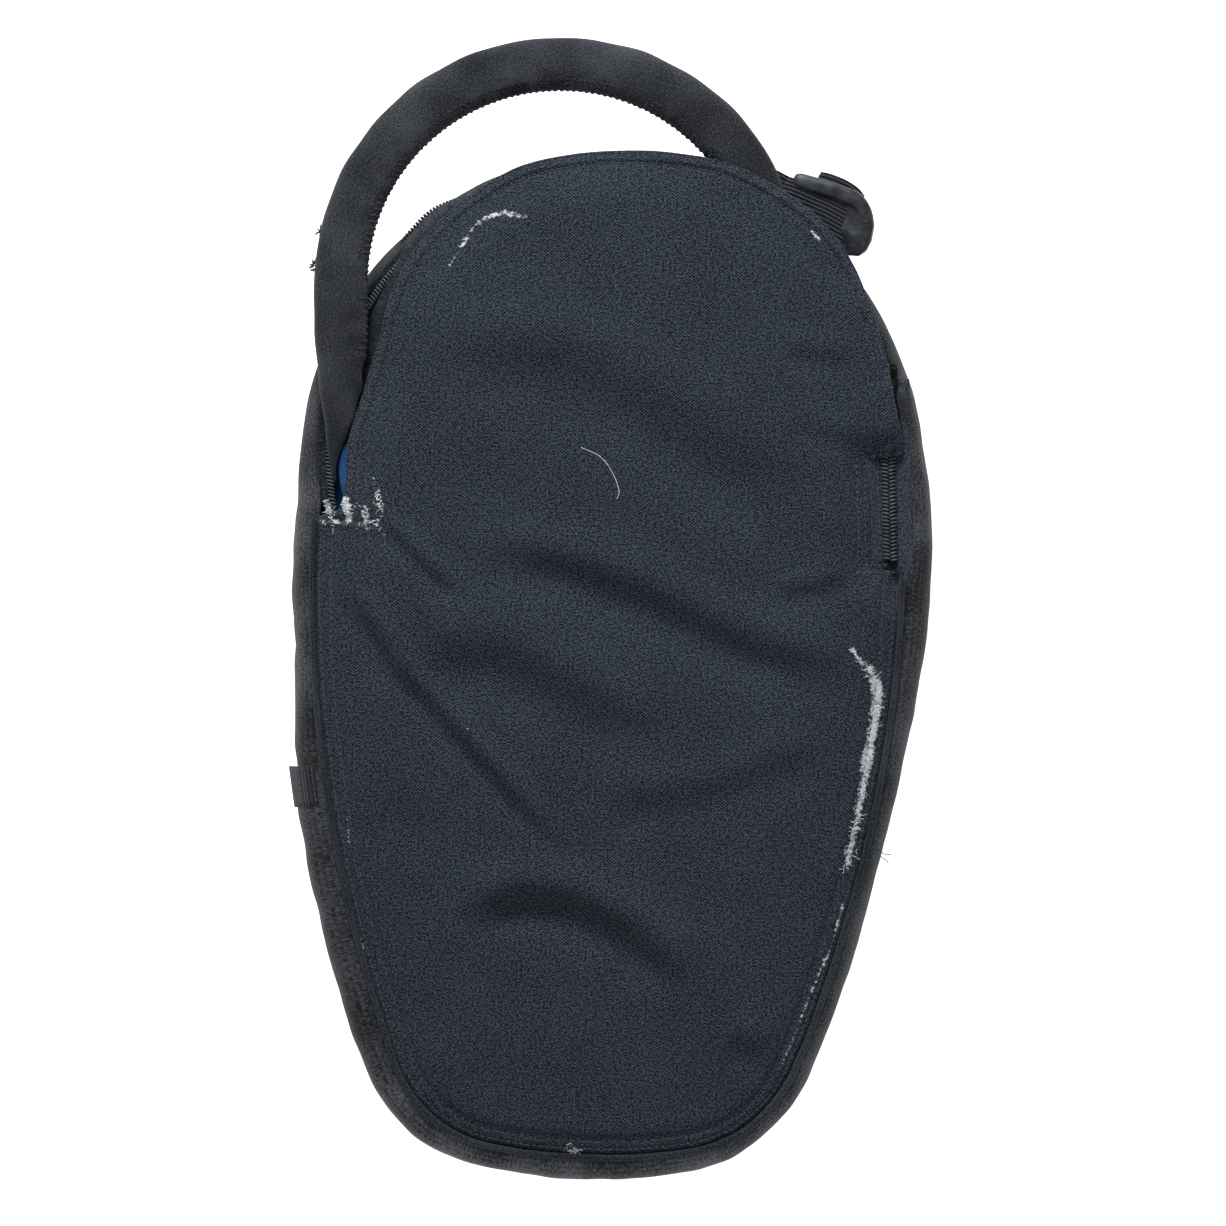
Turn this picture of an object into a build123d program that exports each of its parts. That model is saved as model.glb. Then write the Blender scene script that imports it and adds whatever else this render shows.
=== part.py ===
from build123d import *
from math import cos, degrees, radians, sin, sqrt
import os

# Drum stick bag: an egg-shaped padded clamshell with a rear pocket and a sling strap.
# The bag lies on its front panel with the rear panel up. X runs across it, Y from its
# narrow end to its wide end, Z up through its thickness. The origin is on the resting
# surface, under the centre of the bag and its strap. Lengths are in millimetres.

# Outline: tangent arcs from the wide end, down one side, to the narrow end
LENGTH = 480.0
TOP_RADIUS = 146.2
CORNER_RADIUS = 74.0
TOP_SWEEP = 85.1
SIDE_SWEEP = 26.0
CORNER_SWEEP = 57.2

# Strap loop: part of a circle in the plane of the bag, measured from the bag's middle
LOOP_CENTRE_X = -25.0
LOOP_CENTRE_FROM_MIDDLE = 178.0
LOOP_RADIUS = 102.4
STRAP_WIDTH = 24.0
STRAP_THICK = 13.4
LOOP_END_ANGLE = 31.0
LEG_LENGTH = 75.0
CORE_WIDTH = 18.4
CORE_THICK = 1.8
CORE_ROOM = 0.6

# Levels through the thickness, from the front panel up
PANEL_THICK = 3.5
LINING_THICK = 1.2
EDGE_INSET = 12.0
WALL_THICK = 3.0
FRONT_WALL_TOP = 24.0
SPLIT_Z = 29.7
CHAIN_GAP = 1.0
BACK_WALL_BASE = 35.2
TOTAL_HEIGHT = 61.0
MOUTH_RIM = 45.0
BOARD_BASE = 36.6
BOARD_TOP = 40.0
POCKET_FLOOR = 40.8
REAR_PANEL_BASE = 58.0
PANEL_LINING_BASE = 57.4
SEAM_GAP = 0.1
ABOVE_ALL = 70.0

# Zips
COIL_HALF_WIDTH = 3.3
COIL_THICK = 2.6
TAPE_THICK = 1.2
MAIN_COIL_INSET = 2.6
MAIN_TAPE_INSET = 3.1
SLIDER_LENGTH = 13.0
PULL_LENGTH = 22.0

STRAP_Z = 55.2
STRAP_HINGE_GAP = 0.5
PIPING_WIDTH = 3.0
PIPING_ROUND = 1.2


def side_radius():
    """Radius of the long side arc that makes the outline exactly LENGTH long."""
    a1 = radians(TOP_SWEEP)
    a2 = a1 + radians(SIDE_SWEEP)
    a3 = a2 + radians(CORNER_SWEEP)
    end_drop = (1 + cos(a3)) / sin(a3)
    fixed = TOP_RADIUS * (1 - cos(a1) + sin(a1) * end_drop)
    fixed += CORNER_RADIUS * (cos(a2) - cos(a3) + (sin(a3) - sin(a2)) * end_drop)
    per_radius = cos(a1) - cos(a2) + (sin(a2) - sin(a1)) * end_drop
    return (LENGTH - fixed) / per_radius


def end_radius():
    """Radius of the narrow end's arc, which closes the outline on the centre line."""
    a1 = radians(TOP_SWEEP)
    a2 = a1 + radians(SIDE_SWEEP)
    a3 = a2 + radians(CORNER_SWEEP)
    half = TOP_RADIUS * sin(a1) + SIDE_RADIUS * (sin(a2) - sin(a1))
    half += CORNER_RADIUS * (sin(a3) - sin(a2))
    return half / sin(a3)


SIDE_RADIUS = side_radius()
END_RADIUS = end_radius()
END_SWEEP = 180 - TOP_SWEEP - SIDE_SWEEP - CORNER_SWEEP
LOOP_TOP = LOOP_CENTRE_FROM_MIDDLE + LOOP_RADIUS + STRAP_WIDTH / 2
MIDDLE_Y = -(LOOP_TOP - LENGTH / 2) / 2
TOP_Y = MIDDLE_Y + LENGTH / 2
END_Y = MIDDLE_Y - LENGTH / 2
ARC_CENTRE_Y = TOP_Y - TOP_RADIUS
LOOP_CENTRE = (LOOP_CENTRE_X, MIDDLE_Y + LOOP_CENTRE_FROM_MIDDLE)

# The flap folds on a line from the zip's left end to the top of its closed stretch
FOLD_LEFT = (-117.5, MIDDLE_Y + 70.0)
FOLD_RIGHT = (131.0, MIDDLE_Y + 132.0)
FOLD_GAP = 0.4
FLAP_CROWN = (10.0, MIDDLE_Y + 241.0)
FLAP_LEFT_SIDE = (-114.0, MIDDLE_Y + 115.0)
FLAP_LEFT_TOP = (-108.0, MIDDLE_Y + 160.0)
FLAP_RIGHT_TOP = (116.5, MIDDLE_Y + 185.6)

# The closed stretch of the pocket zip runs down the right side
CHAIN_TOP = (128.7, MIDDLE_Y + 132.0)
CHAIN_END = (133.0, MIDDLE_Y + 50.0)
CHAIN_Z = 49.2
CHAIN_SLOT_WIDTH = 12.4

# The strap swings about a line through its two ends
STRAP_END_LEFT = (-123.0, MIDDLE_Y + 70.0)
STRAP_END_RIGHT = (78.0, MIDDLE_Y + 214.0)
STRAP_CUT = 42.0

# Ladder lock on the strap's right end
LOCK_ANGLE = -28.0
LOCK_CENTRE = (93.6, MIDDLE_Y + 205.4)
LOCK_LENGTH = 44.0
LOCK_WIDTH = 34.0
LOCK_BASE = 49.6
LOCK_HEIGHT = 6.6
WEBBING_WIDTH = 25.0
WEBBING_THICK = 1.5
ANCHOR_BASE = 47.1
ANCHOR_THICK = 1.3
BAR_HEIGHT = 3.6

# The uncut stretch of gusset at the narrow end, which the bag opens on
HINGE_STRIP_HEIGHT = 24.0

# Stick sleeves
SLEEVE_COUNT = 3
SLEEVE_WIDTH = 54.0
SLEEVE_TOP_WIDTH = 44.0
SLEEVE_HEIGHT = 17.2
SLEEVE_PITCH = 59.0
SLEEVE_LENGTH = 270.0
SLEEVE_FABRIC = 1.2
SLEEVE_BASE_Y = MIDDLE_Y - 180.0


def unit(start, end):
    """Unit vector in the plane from start to end."""
    dx = end[0] - start[0]
    dy = end[1] - start[1]
    length = sqrt(dx * dx + dy * dy)
    return (dx / length, dy / length)


def save(part, label):
    """Label a finished piece and write it as one STEP file."""
    part.label = label
    export_step(part, f"parts/{label}.step")


def egg(inset):
    """The bag's outline drawn in by inset, as a flat face."""
    with BuildSketch(mode=Mode.PRIVATE) as face:
        with BuildLine():
            end = JernArc((0, END_Y + inset), (1, 0), END_RADIUS - inset, END_SWEEP)
            corner = JernArc(end @ 1, end % 1, CORNER_RADIUS - inset, CORNER_SWEEP)
            side = JernArc(corner @ 1, corner % 1, SIDE_RADIUS - inset, SIDE_SWEEP)
            JernArc(side @ 1, side % 1, TOP_RADIUS - inset, TOP_SWEEP)
            mirror(about=Plane.YZ)
        make_face()
    return face.sketch


def egg_plate(inset, bottom, top):
    """A flat plate of the bag's outline."""
    with BuildPart(mode=Mode.PRIVATE) as plate:
        with BuildSketch(Plane.XY.offset(bottom)):
            add(egg(inset))
        extrude(amount=top - bottom)
    return plate.part


def egg_ring(outer, inner, bottom, top):
    """A wall that follows the bag's outline, between two insets."""
    with BuildPart(mode=Mode.PRIVATE) as ring:
        with BuildSketch(Plane.XY.offset(bottom)):
            add(egg(outer))
            add(egg(inner), mode=Mode.SUBTRACT)
        extrude(amount=top - bottom)
    return ring.part


def half_space(start, direction, bottom, top):
    """A large block on the left of the line from start along direction."""
    reach = 700.0
    heading = Vector(direction[0], direction[1], 0)
    angle = heading.get_signed_angle(Vector(1, 0, 0), Vector(0, 0, -1))
    middle_x = start[0] - direction[1] * reach / 2
    middle_y = start[1] + direction[0] * reach / 2
    with BuildPart(mode=Mode.PRIVATE) as block:
        with BuildSketch(Plane.XY.offset(bottom)):
            with Locations((middle_x, middle_y)):
                Rectangle(2 * reach, reach, rotation=angle)
        extrude(amount=top - bottom)
    return block.part


def slab(centre, size, angle, bottom, top):
    """A block of the given plan size, turned about Z."""
    with BuildPart(mode=Mode.PRIVATE) as block:
        with BuildSketch(Plane.XY.offset(bottom)):
            with Locations(centre):
                Rectangle(size[0], size[1], rotation=angle)
        extrude(amount=top - bottom)
    return block.part


FOLD = unit(FOLD_LEFT, FOLD_RIGHT)
ABOVE_FOLD = half_space(FOLD_LEFT, FOLD, MOUTH_RIM, ABOVE_ALL)
FLAP_START = (FOLD_LEFT[0] - FOLD[1] * FOLD_GAP, FOLD_LEFT[1] + FOLD[0] * FOLD_GAP)
HINGE_Y = END_Y + HINGE_STRIP_HEIGHT
ZIP_REACH = 600.0
ZIP_REGION = slab((0, HINGE_Y + ZIP_REACH / 2), (ZIP_REACH, ZIP_REACH), 0, 0, ABOVE_ALL)

CHAIN = unit(CHAIN_TOP, CHAIN_END)
CHAIN_ANGLE = -90 + Vector(CHAIN[0], CHAIN[1], 0).get_angle(Vector(0, -1, 0))
CHAIN_LENGTH = sqrt((CHAIN_END[0] - CHAIN_TOP[0]) ** 2 + (CHAIN_END[1] - CHAIN_TOP[1]) ** 2)


def beside_chain(along, across):
    """A point measured down the chain from its top, and across it towards the edge."""
    x = CHAIN_TOP[0] + CHAIN[0] * along - CHAIN[1] * across
    y = CHAIN_TOP[1] + CHAIN[1] * along + CHAIN[0] * across
    return (x, y)


SLOT_BASE = 47.0
SLOT_LENGTH = CHAIN_LENGTH + 2
SLOT_CENTRE = beside_chain(CHAIN_LENGTH / 2, 0.3)
CHAIN_SLOT = slab(SLOT_CENTRE, (SLOT_LENGTH, CHAIN_SLOT_WIDTH), CHAIN_ANGLE, SLOT_BASE, ABOVE_ALL)


def flap_face(grow):
    """The flap's outline, drawn out by grow, without the cut on the fold line."""
    with BuildSketch(mode=Mode.PRIVATE) as face:
        with BuildLine():
            left = ThreePointArc(FOLD_LEFT, FLAP_LEFT_SIDE, FLAP_LEFT_TOP)
            over = ThreePointArc(left @ 1, FLAP_CROWN, FLAP_RIGHT_TOP)
            right = TangentArc(over @ 1, FOLD_RIGHT, tangent=over % 1)
            Line(right @ 1, left @ 0)
        make_face()
        if grow:
            offset(amount=grow, kind=Kind.ARC)
    return face.sketch


def flap_plate(inset, bottom, top):
    """A plate of the flap's outline, cut just clear of the fold line."""
    with BuildPart(mode=Mode.PRIVATE) as plate:
        with BuildSketch(Plane.XY.offset(bottom)):
            add(flap_face(-inset))
        extrude(amount=top - bottom)
        add(half_space(FLAP_START, FOLD, bottom - 1, top + 1), mode=Mode.INTERSECT)
    return plate.part


def leaning_plate(inset, base, height):
    """A plate of the outline whose side leans in at 45 degrees as it rises."""
    with BuildPart(mode=Mode.PRIVATE) as body:
        with BuildSketch(Plane.XY.offset(base)):
            add(egg(inset))
        extrude(amount=height, taper=45)
    return body.part


def sinking_plate(inset, base, height):
    """The same, leaning in as it goes down from base."""
    return mirror(leaning_plate(inset, base, height), about=Plane.XY.offset(base))


os.makedirs("parts", exist_ok=True)

# ---------------------------------------------------------------- front shell
INNER_LEAN = WALL_THICK * (sqrt(2) - 1)

with BuildPart() as front_panel:
    add(egg_plate(EDGE_INSET + SEAM_GAP, 0, PANEL_THICK))
save(front_panel.part, "front_panel")

with BuildPart() as front_piping:
    add(egg_ring(EDGE_INSET - PIPING_WIDTH, EDGE_INSET, 0, PANEL_THICK))
    fillet(front_piping.faces().sort_by(Axis.Z)[0].outer_wire().edges(), radius=PIPING_ROUND)
save(front_piping.part, "front_piping")

with BuildPart() as front_gusset:
    add(egg_plate(0, EDGE_INSET, FRONT_WALL_TOP))
    add(sinking_plate(0, EDGE_INSET, EDGE_INSET))
    add(egg_plate(WALL_THICK, EDGE_INSET + INNER_LEAN, FRONT_WALL_TOP), mode=Mode.SUBTRACT)
    inner_lean_base = EDGE_INSET + INNER_LEAN
    add(sinking_plate(WALL_THICK, inner_lean_base, inner_lean_base), mode=Mode.SUBTRACT)
    piping_room = EDGE_INSET - PIPING_WIDTH - SEAM_GAP
    add(egg_plate(piping_room, -1, PANEL_THICK + SEAM_GAP), mode=Mode.SUBTRACT)
save(front_gusset.part, "front_gusset")

with BuildPart() as front_lining:
    add(egg_plate(EDGE_INSET + 0.8, PANEL_THICK, PANEL_THICK + LINING_THICK))
save(front_lining.part, "front_lining")

front_coil_top = SPLIT_Z - CHAIN_GAP / 2
front_coil_base = front_coil_top - COIL_HALF_WIDTH
with BuildPart() as main_zip_tape_front:
    add(egg_ring(MAIN_TAPE_INSET, MAIN_TAPE_INSET + TAPE_THICK, FRONT_WALL_TOP - 4, front_coil_base))
    add(ZIP_REGION, mode=Mode.INTERSECT)
save(main_zip_tape_front.part, "main_zip_tape_front")

with BuildPart() as main_zip_coil_front:
    add(egg_ring(MAIN_COIL_INSET, MAIN_COIL_INSET + COIL_THICK, front_coil_base, front_coil_top))
    add(ZIP_REGION, mode=Mode.INTERSECT)
save(main_zip_coil_front.part, "main_zip_coil_front")

with BuildPart() as hinge_strip_front:
    add(egg_ring(MAIN_TAPE_INSET, MAIN_TAPE_INSET + 1.6, FRONT_WALL_TOP - 6, SPLIT_Z - 0.2))
    add(ZIP_REGION, mode=Mode.SUBTRACT)
save(hinge_strip_front.part, "hinge_strip_front")

sleeve_floor = PANEL_THICK + LINING_THICK


def sleeve_profile(shrink):
    """Trapezoid section of one sleeve, drawn in by the fabric's thickness."""
    half_base = SLEEVE_WIDTH / 2 - shrink * 1.2
    half_top = SLEEVE_TOP_WIDTH / 2 - shrink
    height = SLEEVE_HEIGHT - shrink
    with BuildSketch(mode=Mode.PRIVATE) as profile:
        with BuildLine():
            Polyline((-half_base, 0), (half_base, 0), (half_top, height), (-half_top, height), close=True)
        make_face()
        fillet(profile.vertices().group_by(Axis.Y)[-1], radius=6.0 - shrink)
    return profile.sketch


sleeve_plane = Plane(origin=(0, SLEEVE_BASE_Y, sleeve_floor), x_dir=(-1, 0, 0), z_dir=(0, 1, 0))
with BuildPart() as stick_sleeve_panel:
    with BuildSketch(sleeve_plane):
        with GridLocations(SLEEVE_PITCH, 0, SLEEVE_COUNT, 1):
            add(sleeve_profile(0))
        with Locations((0, SLEEVE_FABRIC / 2)):
            Rectangle(SLEEVE_PITCH * SLEEVE_COUNT + 4, SLEEVE_FABRIC)
    extrude(amount=SLEEVE_LENGTH)
    with BuildSketch(sleeve_plane.offset(SLEEVE_FABRIC)):
        with GridLocations(SLEEVE_PITCH, 0, SLEEVE_COUNT, 1):
            add(sleeve_profile(SLEEVE_FABRIC))
    extrude(amount=SLEEVE_LENGTH, mode=Mode.SUBTRACT)
save(stick_sleeve_panel.part, "stick_sleeve_panel")

with BuildPart() as sleeve_binding:
    binding_top = sleeve_floor + SLEEVE_HEIGHT
    with BuildSketch(Plane.XY.offset(binding_top)):
        with Locations((0, SLEEVE_BASE_Y + SLEEVE_LENGTH - 4)):
            with GridLocations(SLEEVE_PITCH, 0, SLEEVE_COUNT, 1):
                Rectangle(SLEEVE_TOP_WIDTH - 12, 7)
    extrude(amount=0.8)
save(sleeve_binding.part, "sleeve_binding")

# ---------------------------------------------------------------- back shell
back_coil_base = SPLIT_Z + CHAIN_GAP / 2
back_coil_top = back_coil_base + COIL_HALF_WIDTH
back_wall_top = TOTAL_HEIGHT - EDGE_INSET
board_inset = MAIN_TAPE_INSET + TAPE_THICK + 0.1

with BuildPart() as back_gusset:
    inner_top = back_wall_top - INNER_LEAN
    add(egg_plate(0, BACK_WALL_BASE, back_wall_top))
    add(leaning_plate(0, back_wall_top, EDGE_INSET))
    add(egg_plate(WALL_THICK, BACK_WALL_BASE, inner_top), mode=Mode.SUBTRACT)
    add(leaning_plate(WALL_THICK, inner_top, EDGE_INSET + INNER_LEAN), mode=Mode.SUBTRACT)
    add(egg_plate(EDGE_INSET - PIPING_WIDTH, TOTAL_HEIGHT - PANEL_THICK, ABOVE_ALL), mode=Mode.SUBTRACT)
    add(ABOVE_FOLD, mode=Mode.SUBTRACT)
    add(CHAIN_SLOT, mode=Mode.SUBTRACT)
save(back_gusset.part, "back_gusset")

with BuildPart() as main_zip_coil_back:
    add(egg_ring(MAIN_COIL_INSET, MAIN_COIL_INSET + COIL_THICK, back_coil_base, back_coil_top))
    add(ZIP_REGION, mode=Mode.INTERSECT)
save(main_zip_coil_back.part, "main_zip_coil_back")

with BuildPart() as main_zip_tape_back:
    add(egg_ring(MAIN_TAPE_INSET, MAIN_TAPE_INSET + TAPE_THICK, back_coil_top, BACK_WALL_BASE + 4))
    add(ZIP_REGION, mode=Mode.INTERSECT)
save(main_zip_tape_back.part, "main_zip_tape_back")

with BuildPart() as hinge_strip_back:
    add(egg_ring(MAIN_TAPE_INSET, MAIN_TAPE_INSET + TAPE_THICK, SPLIT_Z + 0.2, BACK_WALL_BASE + 4))
    add(ZIP_REGION, mode=Mode.SUBTRACT)
save(hinge_strip_back.part, "hinge_strip_back")

with BuildPart() as back_wall_lining:
    add(egg_plate(board_inset, BOARD_BASE - LINING_THICK, BOARD_BASE))
save(back_wall_lining.part, "back_wall_lining")

with BuildPart() as back_wall_board:
    add(egg_plate(board_inset, BOARD_BASE, BOARD_TOP))
save(back_wall_board.part, "back_wall_board")

with BuildPart() as pocket_lining:
    add(egg_plate(board_inset, BOARD_TOP, POCKET_FLOOR))
save(pocket_lining.part, "pocket_lining")

with BuildPart() as rear_panel:
    add(egg_plate(EDGE_INSET, REAR_PANEL_BASE, TOTAL_HEIGHT))
    add(ABOVE_FOLD, mode=Mode.SUBTRACT)
    add(CHAIN_SLOT, mode=Mode.SUBTRACT)
save(rear_panel.part, "rear_panel")

with BuildPart() as rear_panel_lining:
    add(egg_plate(EDGE_INSET + 2, PANEL_LINING_BASE, REAR_PANEL_BASE))
    add(ABOVE_FOLD, mode=Mode.SUBTRACT)
    add(CHAIN_SLOT, mode=Mode.SUBTRACT)
save(rear_panel_lining.part, "rear_panel_lining")

with BuildPart() as rear_piping:
    add(egg_ring(EDGE_INSET - PIPING_WIDTH, EDGE_INSET, TOTAL_HEIGHT - PANEL_THICK, TOTAL_HEIGHT))
    fillet(rear_piping.faces().sort_by(Axis.Z)[-1].outer_wire().edges(), radius=PIPING_ROUND)
    add(ABOVE_FOLD, mode=Mode.SUBTRACT)
    beside_slot = beside_chain(CHAIN_LENGTH / 2, 4)
    add(slab(beside_slot, (SLOT_LENGTH, 20), CHAIN_ANGLE, SLOT_BASE, ABOVE_ALL), mode=Mode.SUBTRACT)
save(rear_piping.part, "rear_piping")

# The opened half of the pocket zip hangs on the rim of the mouth
MOUTH_SPACE = half_space(FOLD_LEFT, FOLD, 0, ABOVE_ALL)
rim_coil_base = MOUTH_RIM - 0.5
with BuildPart() as pocket_zip_tape_outer:
    add(egg_ring(MAIN_TAPE_INSET, MAIN_TAPE_INSET + TAPE_THICK, POCKET_FLOOR + 0.4, rim_coil_base))
    add(MOUTH_SPACE, mode=Mode.INTERSECT)
save(pocket_zip_tape_outer.part, "pocket_zip_tape_outer")

with BuildPart() as pocket_zip_coil_outer:
    add(egg_ring(MAIN_TAPE_INSET, MAIN_TAPE_INSET + COIL_THICK, rim_coil_base, rim_coil_base + 2.4))
    add(MOUTH_SPACE, mode=Mode.INTERSECT)
save(pocket_zip_coil_outer.part, "pocket_zip_coil_outer")

tape_z = CHAIN_Z + COIL_THICK / 2 - 0.4
with BuildPart() as pocket_zip_chain:
    half_step = CHAIN_GAP / 2 + COIL_HALF_WIDTH / 2
    for side in (-1, 1):
        centre = beside_chain(CHAIN_LENGTH / 2, side * half_step)
        add(slab(centre, (CHAIN_LENGTH, COIL_HALF_WIDTH), CHAIN_ANGLE, CHAIN_Z, CHAIN_Z + COIL_THICK))
save(pocket_zip_chain.part, "pocket_zip_chain")

with BuildPart() as pocket_zip_chain_tape:
    tape_start = CHAIN_GAP / 2 + COIL_HALF_WIDTH
    tape_width = CHAIN_SLOT_WIDTH / 2 - tape_start
    for side in (-1, 1):
        centre = beside_chain(CHAIN_LENGTH / 2, side * (tape_start + tape_width / 2))
        add(slab(centre, (CHAIN_LENGTH, tape_width), CHAIN_ANGLE, tape_z, tape_z + 0.8))
save(pocket_zip_chain_tape.part, "pocket_zip_chain_tape")

with BuildPart() as zip_bottom_stop:
    stop_base = CHAIN_Z + COIL_THICK
    add(slab(beside_chain(CHAIN_LENGTH - 1.5, 0), (3, 6), CHAIN_ANGLE, stop_base, stop_base + 1))
save(zip_bottom_stop.part, "zip_bottom_stop")

fold_angle = Vector(FOLD[0], FOLD[1], 0).get_angle(Vector(1, 0, 0))
with BuildPart() as zip_end_bartack:
    bartack_x = FOLD_LEFT[0] + FOLD[1] * 4 + 1
    bartack_y = FOLD_LEFT[1] - FOLD[0] * 4
    add(slab((bartack_x, bartack_y), (20, 5), fold_angle, TOTAL_HEIGHT, TOTAL_HEIGHT + 0.7))
save(zip_end_bartack.part, "zip_end_bartack")

with BuildPart() as side_tab:
    with BuildSketch(Plane.XY.offset(40)):
        with Locations((-140.5, MIDDLE_Y - 59.9)):
            Rectangle(7, 19.6)
    extrude(amount=3.2)
    add(egg_plate(0, 0, ABOVE_ALL), mode=Mode.SUBTRACT)
save(side_tab.part, "side_tab")

# ---------------------------------------------------------------- rear flap
with BuildPart() as flap_panel:
    add(flap_plate(0, REAR_PANEL_BASE, TOTAL_HEIGHT))
    fillet(flap_panel.faces().sort_by(Axis.Z)[-1].edges().filter_by(GeomType.CIRCLE), radius=1.0)
save(flap_panel.part, "flap_panel")

with BuildPart() as flap_lining:
    add(flap_plate(7, PANEL_LINING_BASE, REAR_PANEL_BASE))
save(flap_lining.part, "flap_lining")

with BuildPart() as flap_zip_tape:
    add(flap_plate(2, PANEL_LINING_BASE, REAR_PANEL_BASE))
    with BuildSketch(Plane.XY.offset(PANEL_LINING_BASE - 1)):
        add(flap_face(-6.5))
    extrude(amount=3, mode=Mode.SUBTRACT)
save(flap_zip_tape.part, "flap_zip_tape")

# ---------------------------------------------------------------- strap
SWING = unit(STRAP_END_LEFT, STRAP_END_RIGHT)
cut_start = (STRAP_END_LEFT[0] - SWING[1] * STRAP_CUT, STRAP_END_LEFT[1] + SWING[0] * STRAP_CUT)
fixed_cut = STRAP_CUT - STRAP_HINGE_GAP
fixed_start = (STRAP_END_LEFT[0] - SWING[1] * fixed_cut, STRAP_END_LEFT[1] + SWING[0] * fixed_cut)
SWINGING_SIDE = half_space(cut_start, SWING, 40, 80)
FIXED_SIDE = half_space(fixed_start, (-SWING[0], -SWING[1]), 40, 80)
LEG_X = LOOP_CENTRE[0] - LOOP_RADIUS
LEG_TOP = Plane(origin=(LEG_X, LOOP_CENTRE[1], STRAP_Z), x_dir=(1, 0, 0), z_dir=(0, -1, 0))
LOOP_AXIS = Axis((LOOP_CENTRE[0], LOOP_CENTRE[1], 0), (0, 0, -1))


def oval(width, thick):
    """The padded strap's rounded section."""
    with BuildSketch(mode=Mode.PRIVATE) as section:
        SlotOverall(width, thick)
    return section.sketch


def band(width, thick):
    """The section of flat webbing."""
    with BuildSketch(mode=Mode.PRIVATE) as section:
        Rectangle(width, thick)
    return section.sketch


def strap_run(section):
    """The whole strap loop with its straight left leg, at one section."""
    with BuildPart(mode=Mode.PRIVATE) as run:
        with BuildSketch(LEG_TOP):
            add(section)
        extrude(amount=LEG_LENGTH)
        with BuildSketch(LEG_TOP):
            add(section)
        revolve(axis=LOOP_AXIS, revolution_arc=180 - LOOP_END_ANGLE)
    return run.part


with BuildPart() as strap_sleeve:
    add(strap_run(oval(STRAP_WIDTH, STRAP_THICK)))
    add(strap_run(band(CORE_WIDTH + CORE_ROOM, CORE_THICK + CORE_ROOM)), mode=Mode.SUBTRACT)
    add(SWINGING_SIDE, mode=Mode.INTERSECT)
save(strap_sleeve.part, "strap_sleeve")

with BuildPart() as strap_core_webbing:
    add(strap_run(band(CORE_WIDTH, CORE_THICK)))
    add(SWINGING_SIDE, mode=Mode.INTERSECT)
save(strap_core_webbing.part, "strap_core_webbing")

with BuildPart() as strap_end_right:
    add(strap_run(oval(STRAP_WIDTH, STRAP_THICK)))
    add(slab((-200, MIDDLE_Y + 100), (400, 500), 0, 40, 80), mode=Mode.SUBTRACT)
    add(FIXED_SIDE, mode=Mode.INTERSECT)
    with BuildSketch(Plane.XY.offset(40)):
        add(flap_face(0.6))
    extrude(amount=40, mode=Mode.SUBTRACT)
save(strap_end_right.part, "strap_end_right")

with BuildPart() as strap_end_left:
    with BuildSketch(Plane(origin=(LEG_X, MIDDLE_Y + 130, STRAP_Z), x_dir=(1, 0, 0), z_dir=(0, -1, 0))):
        add(oval(STRAP_WIDTH, STRAP_THICK))
    with BuildSketch(Plane(origin=(-125.5, MIDDLE_Y + 72, 51.5), x_dir=(1, 0, 0), z_dir=(0, -1, 0))):
        add(oval(7, 5))
    loft()
    add(FIXED_SIDE, mode=Mode.INTERSECT)
save(strap_end_left.part, "strap_end_left")

# ---------------------------------------------------------------- ladder lock
LOCK_DIR = (cos(radians(LOCK_ANGLE)), sin(radians(LOCK_ANGLE)))


def on_lock(along, across):
    """A point along the lock from its centre, and across it towards the outside."""
    x = LOCK_CENTRE[0] + LOCK_DIR[0] * along - LOCK_DIR[1] * across
    y = LOCK_CENTRE[1] + LOCK_DIR[1] * along + LOCK_DIR[0] * across
    return (x, y)


RAIL_WIDTH = (LOCK_WIDTH - WEBBING_WIDTH - 1) / 2
BAR_PLACES = (-17.0, 0.0, 15.0)
with BuildPart() as ladder_lock:
    for side in (-1, 1):
        rail_centre = on_lock(-2, side * (LOCK_WIDTH - RAIL_WIDTH) / 2)
        add(slab(rail_centre, (LOCK_LENGTH - 4, RAIL_WIDTH), LOCK_ANGLE, LOCK_BASE, LOCK_BASE + LOCK_HEIGHT))
    for place in BAR_PLACES:
        add(slab(on_lock(place, 0), (4.4, LOCK_WIDTH - 2), LOCK_ANGLE, LOCK_BASE, LOCK_BASE + BAR_HEIGHT))
    lip_at = on_lock(LOCK_LENGTH / 2 - 3, 0)
    add(slab(lip_at, (6, LOCK_WIDTH), LOCK_ANGLE, LOCK_BASE, LOCK_BASE + LOCK_HEIGHT))
save(ladder_lock.part, "ladder_lock")

with BuildPart() as lock_webbing:
    on_bars = LOCK_BASE + BAR_HEIGHT + SEAM_GAP
    add(slab(on_lock(-2, 0), (34, WEBBING_WIDTH), LOCK_ANGLE, on_bars, on_bars + WEBBING_THICK))
save(lock_webbing.part, "lock_webbing")

with BuildPart() as strap_anchor_webbing:
    anchor_top = ANCHOR_BASE + ANCHOR_THICK
    add(slab(on_lock(-12, 5), (56, WEBBING_WIDTH), LOCK_ANGLE, ANCHOR_BASE, anchor_top))
save(strap_anchor_webbing.part, "strap_anchor_webbing")

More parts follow.
